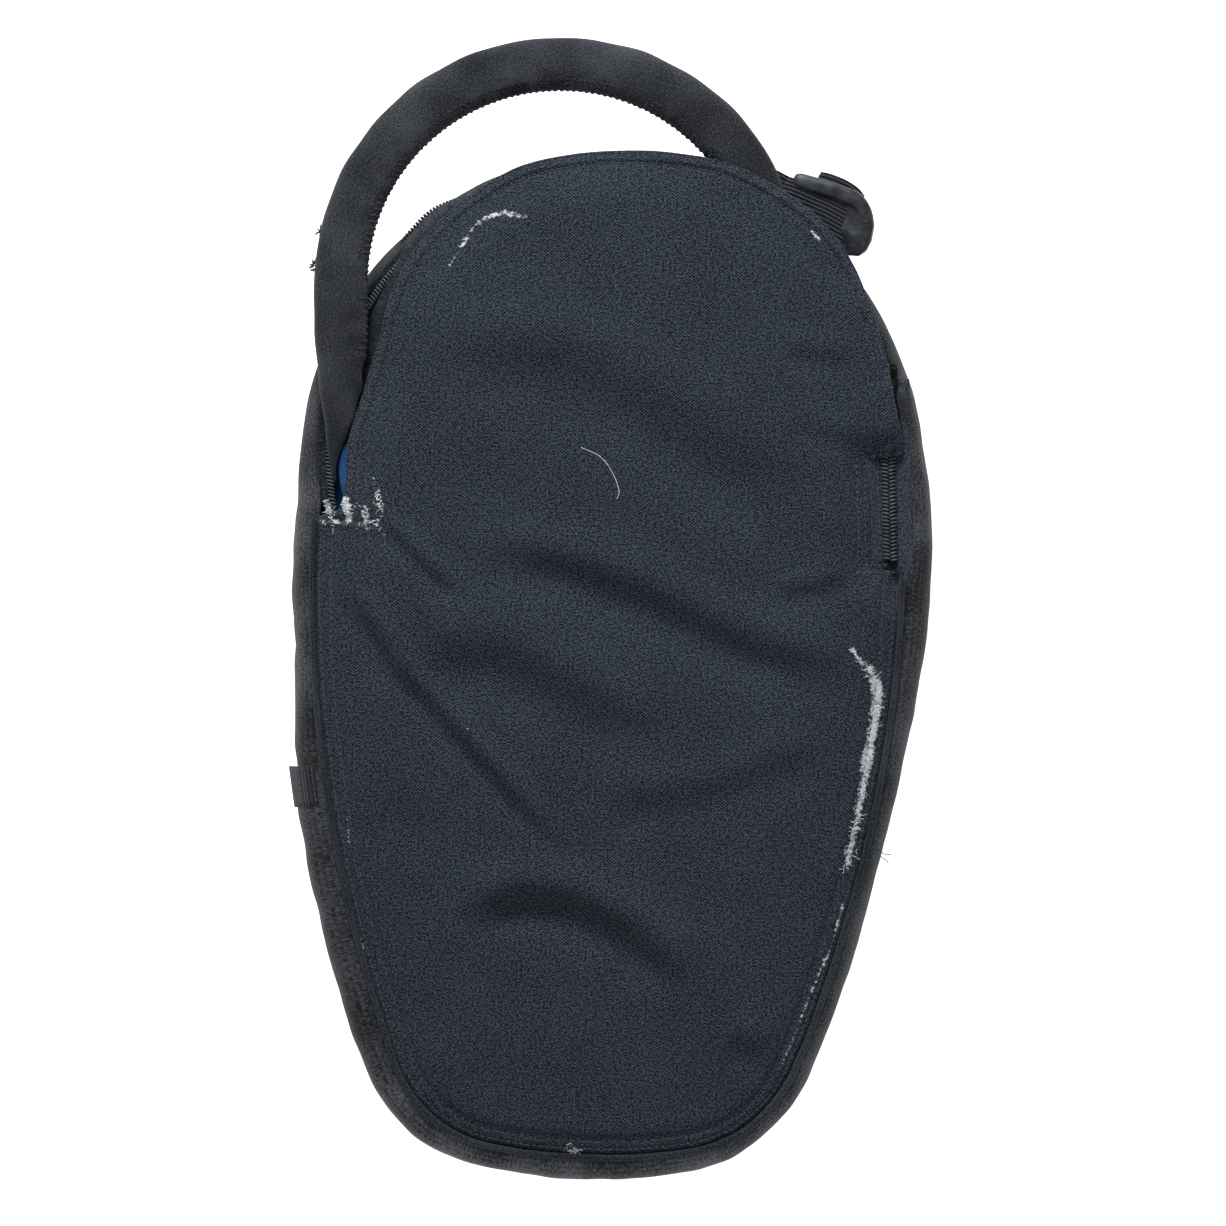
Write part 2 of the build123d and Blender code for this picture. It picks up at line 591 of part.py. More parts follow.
# ---------------------------------------------------------------- pocket zip slider
SLIDER_WIDTH = 10.8
slider_middle = -SLIDER_LENGTH / 2 - 0.6
plate_top = CHAIN_Z + COIL_THICK + 0.4
with BuildPart() as pocket_zip_slider:
    slider_at = beside_chain(slider_middle, 0)
    add(slab(slider_at, (SLIDER_LENGTH, SLIDER_WIDTH), CHAIN_ANGLE, CHAIN_Z - 1.7, CHAIN_Z - 0.4))
    add(slab(slider_at, (SLIDER_LENGTH, SLIDER_WIDTH), CHAIN_ANGLE, plate_top, plate_top + 1.4))
    add(slab(slider_at, (SLIDER_LENGTH - 1, 0.5), CHAIN_ANGLE, CHAIN_Z - 1, plate_top + 1))
    for post_at in (-5.4, 1.4):
        post = beside_chain(slider_middle + post_at, 0)
        add(slab(post, (1.2, 2.4), CHAIN_ANGLE, plate_top + 1, plate_top + 4.5))
    add(slab(beside_chain(slider_middle - 2, 0), (8.0, 2.4), CHAIN_ANGLE, plate_top + 4, plate_top + 5))
save(pocket_zip_slider.part, "pocket_zip_slider")

with BuildPart() as pocket_zip_pull:
    pull_z = plate_top + 1.9
    pull_middle = slider_middle - PULL_LENGTH / 2 - 3
    add(slab(beside_chain(pull_middle, 0), (PULL_LENGTH, 5.4), CHAIN_ANGLE, pull_z, pull_z + 0.9))
    ring_hole = beside_chain(slider_middle - 6.2, 0)
    add(slab(ring_hole, (5.0, 3.2), CHAIN_ANGLE, pull_z - 1, pull_z + 2), mode=Mode.SUBTRACT)
save(pocket_zip_pull.part, "pocket_zip_pull")

# ---------------------------------------------------------------- main zip sliders
SLIDER_ARC = degrees(SLIDER_LENGTH / TOP_RADIUS)
SLIDER_PARK = 3.4


def arc_piece(start_angle, sweep, outer, inner, bottom, top):
    """A short curved plate on the wide end's arc, between two insets."""
    a = radians(start_angle)
    plane = Plane(origin=(0, ARC_CENTRE_Y, 0), x_dir=(cos(a), sin(a), 0), z_dir=(sin(a), -cos(a), 0))
    with BuildPart(mode=Mode.PRIVATE) as piece:
        with BuildSketch(plane):
            with Locations((TOP_RADIUS - (outer + inner) / 2, (bottom + top) / 2)):
                Rectangle(inner - outer, top - bottom)
        revolve(axis=Axis((0, ARC_CENTRE_Y, 0), (0, 0, 1)), revolution_arc=sweep)
    return piece.part


def main_slider(side):
    """One slider on the closed main zip. Side is 1 on the right, -1 on the left."""
    start = 90 - side * SLIDER_PARK - SLIDER_ARC / 2
    low = FRONT_WALL_TOP + 0.8
    high = BACK_WALL_BASE - 0.8
    with BuildPart(mode=Mode.PRIVATE) as slider:
        add(arc_piece(start, SLIDER_ARC, 1.0, MAIN_COIL_INSET - 0.3, low, high))
        add(arc_piece(start, SLIDER_ARC, MAIN_COIL_INSET + COIL_THICK + 0.3, 6.9, low, high))
        add(arc_piece(start, SLIDER_ARC, 1.6, 6.2, SPLIT_Z - 0.25, SPLIT_Z + 0.25))
        middle = start + SLIDER_ARC / 2
        add(arc_piece(middle - 1.2, 0.4, -1.4, 1.2, SPLIT_Z - 1.2, SPLIT_Z + 1.2))
        add(arc_piece(middle + 0.8, 0.4, -1.4, 1.2, SPLIT_Z - 1.2, SPLIT_Z + 1.2))
        add(arc_piece(middle - 1.2, 2.4, -2.2, -1.2, SPLIT_Z - 1.2, SPLIT_Z + 1.2))
    return slider.part


def main_pull(side):
    """The pull of one main slider, lying along the zip and pointing away from the other."""
    middle = 90 - side * SLIDER_PARK
    a = radians(middle)
    across = (cos(a), sin(a))
    along = (sin(a) * side, -cos(a) * side)
    radius = TOP_RADIUS + 0.3
    centre_x = across[0] * radius + along[0] * (PULL_LENGTH / 2 - 1)
    centre_y = ARC_CENTRE_Y + across[1] * radius + along[1] * (PULL_LENGTH / 2 - 1)
    hole_x = across[0] * radius + along[0] * 2.4
    hole_y = ARC_CENTRE_Y + across[1] * radius + along[1] * 2.4
    turn = middle - 90
    with BuildPart(mode=Mode.PRIVATE) as pull:
        add(slab((centre_x, centre_y), (PULL_LENGTH, 1.0), turn, SPLIT_Z - 2.6, SPLIT_Z + 2.6))
        add(slab((hole_x, hole_y), (5.6, 3), turn, SPLIT_Z - 1.5, SPLIT_Z + 1.5), mode=Mode.SUBTRACT)
    return pull.part


for side, word in ((-1, "left"), (1, "right")):
    save(main_slider(side), f"main_zip_slider_{word}")
    save(main_pull(side), f"main_zip_pull_{word}")
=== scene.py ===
from math import cos, pi, radians, sin

import bpy
import numpy as np
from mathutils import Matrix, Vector
from mathutils.geometry import delaunay_2d_cdt


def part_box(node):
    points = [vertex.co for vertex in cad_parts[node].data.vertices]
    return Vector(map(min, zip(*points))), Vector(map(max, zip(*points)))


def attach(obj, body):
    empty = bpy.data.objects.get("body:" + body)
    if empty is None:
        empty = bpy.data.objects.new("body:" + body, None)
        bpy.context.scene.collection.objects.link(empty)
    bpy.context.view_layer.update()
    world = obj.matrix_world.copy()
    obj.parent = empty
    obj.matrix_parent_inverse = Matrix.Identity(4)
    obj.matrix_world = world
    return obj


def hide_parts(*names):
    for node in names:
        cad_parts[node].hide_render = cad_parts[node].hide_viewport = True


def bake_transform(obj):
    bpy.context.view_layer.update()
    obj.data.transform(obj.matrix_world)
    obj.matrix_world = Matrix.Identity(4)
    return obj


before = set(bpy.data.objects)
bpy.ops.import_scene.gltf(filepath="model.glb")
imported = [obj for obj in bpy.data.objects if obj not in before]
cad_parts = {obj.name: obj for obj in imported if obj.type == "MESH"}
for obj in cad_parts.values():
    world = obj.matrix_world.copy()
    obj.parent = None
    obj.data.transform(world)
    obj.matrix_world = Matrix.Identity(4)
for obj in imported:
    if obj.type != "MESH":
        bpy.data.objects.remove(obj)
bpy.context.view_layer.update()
MM = 0.001

# ------------------------------------------------------------------ places, in mm, from the CAD


def box(node):
    low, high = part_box(node)
    return np.array(low) / MM, np.array(high) / MM


shell_low, shell_high = box("front_gusset")
END_Y, TOP_Y = shell_low[1], shell_high[1]
MID = (END_Y + TOP_Y) / 2
PANEL_TOP = box("rear_panel")[1][2]
STRAP_Z = (box("strap_sleeve")[0][2] + box("strap_sleeve")[1][2]) / 2
LEG_X = box("strap_sleeve")[0][0] + 12.0
ARCS = ((244.562, 11.7), (74.0, 57.2), (663.168, 26.0), (146.2, 85.1))
FOLD_LEFT = np.array([-117.5, MID + 70.0])
FOLD_RIGHT = np.array([131.0, MID + 132.0])
FOLD = (FOLD_RIGHT - FOLD_LEFT) / np.linalg.norm(FOLD_RIGHT - FOLD_LEFT)
FOLD_OUT = np.array([-FOLD[1], FOLD[0]])
CHAIN_TOP = np.array([128.7, MID + 132.0])
CHAIN_END = np.array([133.0, MID + 50.0])
CHAIN = (CHAIN_END - CHAIN_TOP) / np.linalg.norm(CHAIN_END - CHAIN_TOP)
CHAIN_ACROSS = np.array([-CHAIN[1], CHAIN[0]])
CHAIN_Z = box("pocket_zip_chain")[0][2] + 1.3
LOOP_CENTRE = np.array([-25.0, MID + 178.0])
LOOP_RADIUS = LOOP_CENTRE[0] - LEG_X


def outline_table():
    """Distance round the bag, place and outward normal, from the narrow end up the right side and back."""
    centre, angle, rows, last = np.array([0.0, END_Y + ARCS[0][0]]), -90.0, [], ARCS[0][0]
    for radius, sweep in ARCS:
        a = radians(angle)
        centre = centre + (last - radius) * np.array([cos(a), sin(a)])
        for t in np.linspace(angle, angle + sweep, 300)[:-1]:
            n = np.array([cos(radians(t)), sin(radians(t))])
            rows.append((*(centre + radius * n), *n))
        angle, last = angle + sweep, radius
    right = np.array(rows)
    left = right[::-1] * np.array([-1, 1, -1, 1])
    both = np.vstack([right, left, right[:1]])
    step = np.hypot(*np.diff(both[:, :2], axis=0).T)
    return np.column_stack([np.concatenate([[0], np.cumsum(step)]), both])


OUTLINE = outline_table()
ROUND = OUTLINE[-1, 0]


def at(s):
    """Places and outward normals at distances s round the bag."""
    s = np.mod(s, ROUND)
    return [np.interp(s, OUTLINE[:, 0], OUTLINE[:, k]) for k in (1, 2, 3, 4)]


def round_at(side, y):
    """Distance round the bag where the given side passes y, measured from the bag's middle."""
    half = len(OUTLINE) // 2
    s = np.interp(MID + y, OUTLINE[:half, 2], OUTLINE[:half, 0])
    return s if side > 0 else ROUND - s


def smooth(t):
    t = np.clip(t, 0, 1)
    return t * t * (3 - 2 * t)


def waves(x, y, size, seed, count=8):
    """Gentle seeded unevenness, about -1 to 1."""
    rng = np.random.default_rng(seed)
    total = 0
    for _ in range(count):
        a, k, p = rng.uniform(0, 2 * pi), 2 * pi / (size * rng.uniform(0.7, 1.5)), rng.uniform(0, 2 * pi)
        total = total + np.sin(k * (x * cos(a) + y * sin(a)) + p)
    return total / count ** 0.5 / 1.4


def near_line(points, line):
    """Distance from points to a polyline, signed positive on its left, and the share along it."""
    line = np.array(line, float)
    best = np.full(len(points), 1e9)
    sign, share = np.zeros(len(points)), np.zeros(len(points))
    lengths = np.hypot(*np.diff(line, axis=0).T)
    total = lengths.sum()
    run = 0
    for a, b, length in zip(line[:-1], line[1:], lengths):
        d = (b - a) / length
        rel = points - a
        t = np.clip(rel @ d, 0, length)
        off = rel - t[:, None] * d
        dist = np.hypot(off[:, 0], off[:, 1])
        hit = dist < best
        best[hit] = dist[hit]
        sign[hit] = np.sign(d[0] * rel[hit, 1] - d[1] * rel[hit, 0])
        share[hit] = (run + t[hit]) / total
        run += length
    return best, sign, share


def resample(line, step, closed=False):
    line = np.array(line, float)
    if closed:
        line = np.vstack([line, line[:1]])
    seg = np.concatenate([[0], np.cumsum(np.linalg.norm(np.diff(line, axis=0), axis=1))])
    count = max(2, int(round(seg[-1] / step)))
    t = np.linspace(0, seg[-1], count + (0 if closed else 1), endpoint=not closed)
    return np.column_stack([np.interp(t, seg, line[:, k]) for k in range(line.shape[1])])


def spline(points, per=8):
    """Catmull-Rom curve through open points."""
    p = np.array(points, float)
    p = np.vstack([2 * p[0] - p[1], p, 2 * p[-1] - p[-2]])
    out = []
    for i in range(1, len(p) - 2):
        for t in np.linspace(0, 1, per, endpoint=False):
            a, b, c, d = p[i - 1], p[i], p[i + 1], p[i + 2]
            out.append(0.5 * (2 * b + (c - a) * t + (2 * a - 5 * b + 4 * c - d) * t * t
                              + (3 * b - a - 3 * c + d) * t ** 3))
    return np.array(out + [p[-2]])


# ------------------------------------------------------------------ materials


class Paint:
    """One procedural material and short ways to add nodes to it."""

    def __init__(self, name, colour, rough, **sockets):
        self.mat = bpy.data.materials.new(name)
        self.mat.use_nodes = True
        self.tree = self.mat.node_tree
        self.shader = self.tree.nodes["Principled BSDF"]
        self.shader.inputs["Base Color"].default_value = (*colour, 1)
        self.shader.inputs["Roughness"].default_value = rough
        for key, value in sockets.items():
            self.shader.inputs[key.replace("_", " ")].default_value = value

    def node(self, kind, **settings):
        n = self.tree.nodes.new("ShaderNode" + kind)
        for key, value in settings.items():
            setattr(n, key, value)
        return n

    def put(self, value, socket):
        if isinstance(value, bpy.types.NodeSocket):
            self.tree.links.new(value, socket)
        else:
            socket.default_value = value

    def math(self, op, a, b=0.0, c=0.0):
        n = self.node("Math", operation=op)
        for value, socket in zip((a, b, c), n.inputs):
            self.put(value, socket)
        return n.outputs[0]

    def coords(self, uv=True):
        return self.node("UVMap").outputs[0] if uv else self.node("TexCoord").outputs["Object"]

    def split(self, vector):
        n = self.node("SeparateXYZ")
        self.put(vector, n.inputs[0])
        return n.outputs

    def noise(self, vector, scale, detail=2.0, rough=0.5):
        n = self.node("TexNoise")
        self.put(vector, n.inputs["Vector"])
        n.inputs["Scale"].default_value = scale
        n.inputs["Detail"].default_value = detail
        n.inputs["Roughness"].default_value = rough
        return n.outputs[0]

    def ramp(self, value, low, high, to_low=0.0, to_high=1.0):
        n = self.node("MapRange")
        n.interpolation_type = "SMOOTHSTEP"
        for v, key in ((value, "Value"), (low, "From Min"), (high, "From Max"), (to_low, "To Min"),
                       (to_high, "To Max")):
            self.put(v, n.inputs[key])
        return n.outputs[0]

    def mix(self, factor, a, b):
        n = self.node("Mix", data_type="RGBA")
        self.put(factor, n.inputs[0])
        for value, socket in ((a, n.inputs[6]), (b, n.inputs[7])):
            self.put(value if isinstance(value, bpy.types.NodeSocket) else (*value, 1), socket)
        return n.outputs[2]

    def colour(self, value):
        self.put(value, self.shader.inputs["Base Color"])

    def bump(self, height, distance, strength=1.0):
        n = self.node("Bump")
        n.inputs["Strength"].default_value = strength
        n.inputs["Distance"].default_value = distance
        self.put(height, n.inputs["Height"])
        self.tree.links.new(n.outputs[0], self.shader.inputs["Normal"])


def sheen(amount, rough, tint):
    return {"Sheen_Weight": amount, "Sheen_Roughness": rough, "Sheen_Tint": (*tint, 1)}


def weave(paint, vector, across, along):
    """Plain weave: yarns of the two widths pass over and under each other. 0 to 1."""
    x, y, _ = paint.split(vector)
    a = paint.math("SINE", paint.math("MULTIPLY", x, pi / across))
    b = paint.math("SINE", paint.math("MULTIPLY", y, pi / along))
    return paint.math("MULTIPLY_ADD", paint.math("MULTIPLY", a, b), 0.5, 0.5)


def scaled(paint, vector, x, y, z=1.0):
    n = paint.node("VectorMath", operation="MULTIPLY")
    paint.put(vector, n.inputs[0])
    n.inputs[1].default_value = (x, y, z)
    return n.outputs[0]


def fabric(name, dark, light, across, along, height, rough=0.85, sheened=0.12, uv=True, wear=False,
           mottle=0.12):
    """Woven cloth with uneven yarns, patches of random lighter and darker tone and, where asked, wear from a
    painted attribute.
    """
    p = Paint(name, light, rough, Specular_IOR_Level=0.12, **sheen(sheened, 0.5, (0.75, 0.85, 1.0)))
    vector = p.coords(uv)
    cloth = weave(p, vector, across, along)
    slub_a = p.noise(scaled(p, vector, 0.22, 1.0), 1 / (along * 1.1), 1.0)
    slub_b = p.noise(scaled(p, vector, 1.0, 0.4), 1 / (across * 1.1), 1.0)
    slub = p.math("ADD", p.math("MULTIPLY", slub_a, 0.65), p.math("MULTIPLY", slub_b, 0.35))
    patch = p.noise(vector, 18.0, 4.0, 0.6)
    grain = p.noise(scaled(p, vector, 0.75, 1.0), 0.85 / along, 3.0, 0.8)
    tone = p.math("MULTIPLY_ADD", p.ramp(slub, 0.35, 0.65), 0.28, p.math("MULTIPLY", cloth, 0.72))
    tone = p.math("MULTIPLY_ADD", p.ramp(patch, 0.3, 0.7, -1.0, 1.0), mottle * 0.5, tone)
    tone = p.math("MULTIPLY_ADD", p.math("SUBTRACT", grain, 0.5), 6.5, tone)
    colour = p.mix(p.ramp(tone, 0.0, 1.15), dark, light)
    level = p.math("MULTIPLY_ADD", slub, 0.5, cloth)
    if wear:
        mark = p.node("Attribute", attribute_name="wear").outputs["Fac"]
        scratch = p.noise(scaled(p, vector, 1.0, 1.6), 420.0, 4.0, 0.7)
        blotch = p.noise(vector, 110.0, 3.0, 0.6)
        worn = p.math("MULTIPLY_ADD", scratch, 1.0, p.math("MULTIPLY_ADD", blotch, 0.9, -0.375))
        amount = p.math("MULTIPLY", p.ramp(p.math("ADD", mark, worn), 1.0, 1.16), p.ramp(mark, 0.02, 0.15))
        colour = p.mix(amount, colour, (0.62, 0.64, 0.67))
        level = p.math("ADD", level, p.math("MULTIPLY", amount, scratch))
    p.colour(colour)
    p.bump(level, height)
    return p.mat


def knit(name, dark, light, rough=0.95, painted_light_end=1.0):
    """Brushed knit: small stitches in wales, under a soft nap. It may be painted lighter towards the narrow
    end, painted light for that end's shaded slopes.
    """
    p = Paint(name, light, rough, Specular_IOR_Level=0.1, **sheen(0.12, 0.45, (0.9, 0.93, 1.0)))
    vector = p.coords()
    x, y, _ = p.split(vector)
    wale = p.math("SINE", p.math("MULTIPLY", x, 2 * pi / 0.0012))
    stitch = p.math("SINE", p.math("ADD", p.math("MULTIPLY", y, 2 * pi / 0.0012),
                                   p.math("MULTIPLY", wale, 1.6)))
    nap = p.noise(vector, 950.0, 4.0, 0.85)
    cloud = p.noise(vector, 30.0, 3.0)
    tone = p.math("MULTIPLY_ADD", stitch, 0.05, nap)
    tone = p.math("MULTIPLY_ADD", p.math("SUBTRACT", cloud, 0.5), 0.45, tone)
    tone = p.ramp(tone, 0.39, 0.66)
    colour = p.mix(tone, dark, light)
    # Painted light: the colour is drawn lighter towards the narrow end, in place of the light its shaded
    # slopes lack.
    if painted_light_end != 1.0:
        y = p.split(p.coords(False))[1]
        near_end = p.ramp(y, (END_Y + 6) * MM, (END_Y + 75) * MM, 1.0, 0.0)
        painted_lit = p.mix(tone, [c * painted_light_end for c in dark], [c * painted_light_end for c in light])
        colour = p.mix(near_end, colour, painted_lit)
    p.colour(colour)
    p.bump(p.math("MULTIPLY_ADD", stitch, 0.12, nap), 0.0003)
    return p.mat


def fleece(name, dark, light):
    p = Paint(name, light, 1.0, **sheen(0.4, 0.6, (1, 1, 1)))
    vector = p.coords()
    pile = p.noise(vector, 700.0, 5.0, 0.7)
    tufts = p.noise(vector, 160.0, 3.0)
    p.colour(p.mix(p.ramp(p.math("ADD", p.math("MULTIPLY", pile, 0.6), p.math("MULTIPLY", tufts, 0.5)), 0.3,
                          0.8),
                   dark, light))
    p.bump(p.math("ADD", pile, tufts), 0.0012)
    return p.mat


def webbing_paint(name, dark, light, rib):
    """Ribbed webbing: ribs across its length, with a fine diagonal yarn in each."""
    p = Paint(name, light, 0.75, Specular_IOR_Level=0.2, **sheen(0.1, 0.4, (0.8, 0.9, 1.0)))
    vector = p.coords()
    x, y, _ = p.split(vector)
    ribs = p.math("COSINE", p.math("MULTIPLY", y, 2 * pi / rib))
    yarn = p.math("SINE", p.math("ADD", p.math("MULTIPLY", x, 2 * pi / 0.0009),
                                 p.math("MULTIPLY", y, 2 * pi / 0.0012)))
    fuzz = p.noise(vector, 900.0, 3.0)
    tone = p.math("MULTIPLY_ADD", ribs, 0.25, p.math("MULTIPLY_ADD", yarn, 0.12, fuzz))
    p.colour(p.mix(p.ramp(tone, 0.1, 0.9), dark, light))
    p.bump(p.math("MULTIPLY_ADD", yarn, 0.3, ribs), 0.0003)
    return p.mat


def plastic(name, dark, light, rough):
    """Moulded plastic with a fine eroded texture and rubbed spots."""
    p = Paint(name, light, rough, Specular_IOR_Level=0.35)
    vector = p.coords(False)
    grain = p.noise(vector, 2200.0, 2.0)
    rub = p.noise(vector, 140.0, 5.0, 0.7)
    p.colour(p.mix(p.ramp(rub, 0.4, 0.75), dark, light))
    p.put(p.ramp(rub, 0.3, 0.7, rough - 0.12, rough + 0.1), p.shader.inputs["Roughness"])
    p.bump(p.math("MULTIPLY_ADD", rub, 0.6, grain), 0.00012)
    return p.mat


def metal(name, dark, light):
    """Painted zinc, rubbed back to the bare metal in spots."""
    p = Paint(name, light, 0.38, Metallic=0.85)
    vector = p.coords(False)
    rub = p.noise(vector, 320.0, 5.0, 0.7)
    p.colour(p.mix(p.ramp(rub, 0.5, 0.72), dark, light))
    p.put(p.ramp(p.noise(vector, 900.0, 3.0), 0.3, 0.7, 0.28, 0.5), p.shader.inputs["Roughness"])
    p.bump(rub, 0.0001)
    return p.mat


def thread_paint(name, dark, light):
    p = Paint(name, light, 0.7, **sheen(0.2, 0.4, (1, 1, 1)))
    vector = p.coords(False)
    twist = p.noise(vector, 1800.0, 2.0)
    p.colour(p.mix(p.ramp(twist, 0.3, 0.7), dark, light))
    p.bump(twist, 0.0001)
    return p.mat


NYLON = fabric("nylon_weave", (0.0018, 0.0026, 0.004), (0.055, 0.072, 0.097), 0.00085, 0.0007, 0.0003,
               wear=True)
# Painted light: the gusset knit is drawn 1.75 times lighter towards the narrow end, where its slopes lie in
# shade.
GUSSET = knit("gusset_knit", (0.010, 0.0108, 0.0118), (0.077, 0.081, 0.088), painted_light_end=1.75)
STRAP = knit("strap_knit", (0.012, 0.0135, 0.0165), (0.062, 0.067, 0.079))
PIPING = fabric("piping_cloth", (0.0025, 0.003, 0.004), (0.048, 0.055, 0.068), 0.0006, 0.0006, 0.00015,
                mottle=0.5)
BLUE = fabric("blue_nylon", (0.004, 0.030, 0.11), (0.012, 0.085, 0.28), 0.00045, 0.00045, 0.00008, 0.5, 0.05)
FLEECE = fleece("fleece_lining", (0.010, 0.011, 0.013), (0.055, 0.058, 0.064))
SLEEVE = fabric("sleeve_nylon", (0.006, 0.007, 0.009), (0.045, 0.05, 0.06), 0.0005, 0.0005, 0.0001)
TAPE = fabric("zip_tape", (0.012, 0.015, 0.021), (0.064, 0.078, 0.104), 0.0004, 0.0009, 0.00012)
# Painted shade: a darker copy of the zip tape's colour, for the pocket mouth's tapes that lie in shade in the
# open mouth and under the flap.
SHADED_MOUTH_TAPE = fabric("mouth_zip_tape_painted_shade", (0.002, 0.003, 0.004), (0.022, 0.027, 0.036), 0.0004, 0.0009, 0.00012)
BINDING = webbing_paint("binding_tape", (0.006, 0.006, 0.007), (0.05, 0.053, 0.06), 0.0014)
WEBBING = webbing_paint("ribbed_webbing", (0.005, 0.0055, 0.006), (0.046, 0.049, 0.056), 0.0018)
COIL = plastic("zip_coil", (0.045, 0.053, 0.066), (0.105, 0.12, 0.145), 0.55)
# Painted shade: a darker copy of the coil's colour, for the flap's teeth that lie in shade under the flap's
# edge.
SHADED_FLAP_COIL = plastic("flap_zip_coil_painted_shade", (0.010, 0.012, 0.015), (0.036, 0.042, 0.052), 0.55)
LOCK = plastic("lock_plastic", (0.018, 0.020, 0.023), (0.05, 0.055, 0.062), 0.36)
METAL = metal("zip_metal", (0.006, 0.006, 0.007), (0.05, 0.05, 0.055))
THREAD = thread_paint("black_thread", (0.012, 0.015, 0.019), (0.062, 0.074, 0.095))
WORN = thread_paint("worn_thread", (0.33, 0.35, 0.38), (0.78, 0.80, 0.82))
BOARD = fabric("stiff_board", (0.10, 0.09, 0.07), (0.16, 0.14, 0.11), 0.002, 0.002, 0.0002, uv=False)

# ------------------------------------------------------------------ mesh helpers


def make(name, verts, faces, mat, body, slot, *nodes, uv=None, wear=None, flat=False):
    """A mesh piece from points in mm, riding on a body and standing for the CAD nodes."""
    mesh = bpy.data.meshes.new(name)
    verts = np.array(verts, float)
    mesh.from_pydata((verts * MM).tolist(), [], [tuple(int(i) for i in f) for f in faces])
    mesh.validate()
    loops = np.zeros(len(mesh.loops), np.int32)
    mesh.loops.foreach_get("vertex_index", loops)
    if uv is None:
        uv = verts[:, :2]
    mesh.uv_layers.new(name="UVMap").data.foreach_set(
        "uv", (np.array(uv) * MM)[loops].astype(np.float32).ravel())
    if wear is not None:
        mesh.attributes.new("wear", "FLOAT", "POINT").data.foreach_set("value", np.array(wear, np.float32))
    mesh.polygons.foreach_set("use_smooth", [not flat] * len(mesh.polygons))
    mesh.materials.append(mat)
    mesh.update()
    obj = bpy.data.objects.new(name, mesh)
    bpy.context.scene.collection.objects.link(obj)
    if body:
        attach(obj, body)
    if nodes:
        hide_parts(*nodes)
    return obj


class Bits:
    """Collects many small shapes into one mesh."""

    def __init__(self):
        self.verts, self.faces, self.uvs, self.count = [], [], [], 0

    def add(self, verts, faces, uv=None):
        verts = np.array(verts, float)
        self.verts.append(verts)
        self.uvs.append(verts[:, :2] if uv is None else np.array(uv, float))
        self.faces += [tuple(i + self.count for i in f) for f in faces]
        self.count += len(verts)

    def make(self, name, mat, body, slot, *nodes, **more):
        return make(name, np.vstack(self.verts), self.faces, mat, body, slot, *nodes,
                    uv=np.vstack(self.uvs), **more)


def grid(rows, columns, wrap_rows=False, wrap_columns=False):
    """Quads of a rows x columns grid of points."""
    faces = []
    for i in range(rows if wrap_rows else rows - 1):
        for j in range(columns if wrap_columns else columns - 1):
            a, b = (i + 1) % rows, (j + 1) % columns
            faces.append((i * columns + j, a * columns + j, a * columns + b, i * columns + b))
    return faces


def sweep(rows, closed_profile=True, closed_path=False, uv_scale=1.0):
    """Verts, faces and uv of a surface through rows of points: n rows of m points each."""
    rows = np.array(rows, float)
    n, m, _ = rows.shape
    faces = grid(n, m, closed_path, closed_profile)
    if not closed_path and closed_profile:
        faces.append(tuple(range(m)))
        faces.append(tuple((n - 1) * m + j for j in reversed(range(m))))
    along = np.concatenate([[0], np.cumsum(np.linalg.norm(np.diff(rows.mean(1), axis=0), axis=1))])
    across = np.concatenate([[0], np.cumsum(np.linalg.norm(np.diff(rows[n // 2], axis=0), axis=1))])
    uv = np.stack(np.meshgrid(along, across, indexing="ij"), -1).reshape(-1, 2) * uv_scale
    return rows.reshape(-1, 3), faces, uv


def ring(s, profile):
    """Rows of points round the bag. Profile is (inset, z) pairs, or one set of them per place."""
    x, y, nx, ny = at(s)
    profile = np.array(profile, float)
    if profile.ndim == 2:
        profile = np.repeat(profile[None], len(s), 0)
    inset, z = profile[..., 0], profile[..., 1]
    px = x[:, None] - nx[:, None] * inset
    py = y[:, None] - ny[:, None] * inset
    return np.stack([px, py, np.broadcast_to(z, px.shape)], -1)


def tube_rows(path, radius, sides=8, up=None, squash=1.0):
    """Rows of a round tube along a path."""
    path = np.array(path, float)
    along = np.gradient(path, axis=0)
    along /= np.linalg.norm(along, axis=1)[:, None] + 1e-9
    up = np.array([0, 0, 1.0]) if up is None else np.array(up, float)
    side = np.cross(along, up)
    side /= np.linalg.norm(side, axis=1)[:, None] + 1e-9
    top = np.cross(side, along)
    a = np.linspace(0, 2 * pi, sides, endpoint=False)
    radius = np.broadcast_to(np.array(radius, float), (len(path),))
    return (path[:, None] + side[:, None] * np.cos(a)[None, :, None] * radius[:, None, None]
            + top[:, None] * (np.sin(a) * squash)[None, :, None] * radius[:, None, None])


def stitches(bits, path, pitch, length, thick, depth=0.35, sides=6):
    """Single stitches along a path: each rises out of the cloth and dips back in."""
    path = resample(path, pitch)
    for a, b in zip(path[:-1], path[1:]):
        way = (b - a) / (np.linalg.norm(b - a) + 1e-9)
        t = np.linspace(-0.5, 0.5, 5)[:, None]
        line = (a + b) / 2 + way * t * length
        line[:, 2] += depth * (1 - (2 * t[:, 0]) ** 2) - depth * 0.4
        rows = tube_rows(line, thick / 2 * np.array([0.45, 0.95, 1, 0.95, 0.45]), sides)
        v, f, _ = sweep(rows)
        bits.add(v, f)


def spaced(pts, lines, gap):
    """The points that keep at least gap from every one of the lines' dense points."""
    far = np.ones(len(pts), bool)
    dense = np.vstack(lines)
    for start in range(0, len(pts), 3000):
        d = pts[start:start + 3000, None] - dense[None]
        far[start:start + 3000] = (d ** 2).sum(-1).min(1) > gap ** 2
    return pts[far]


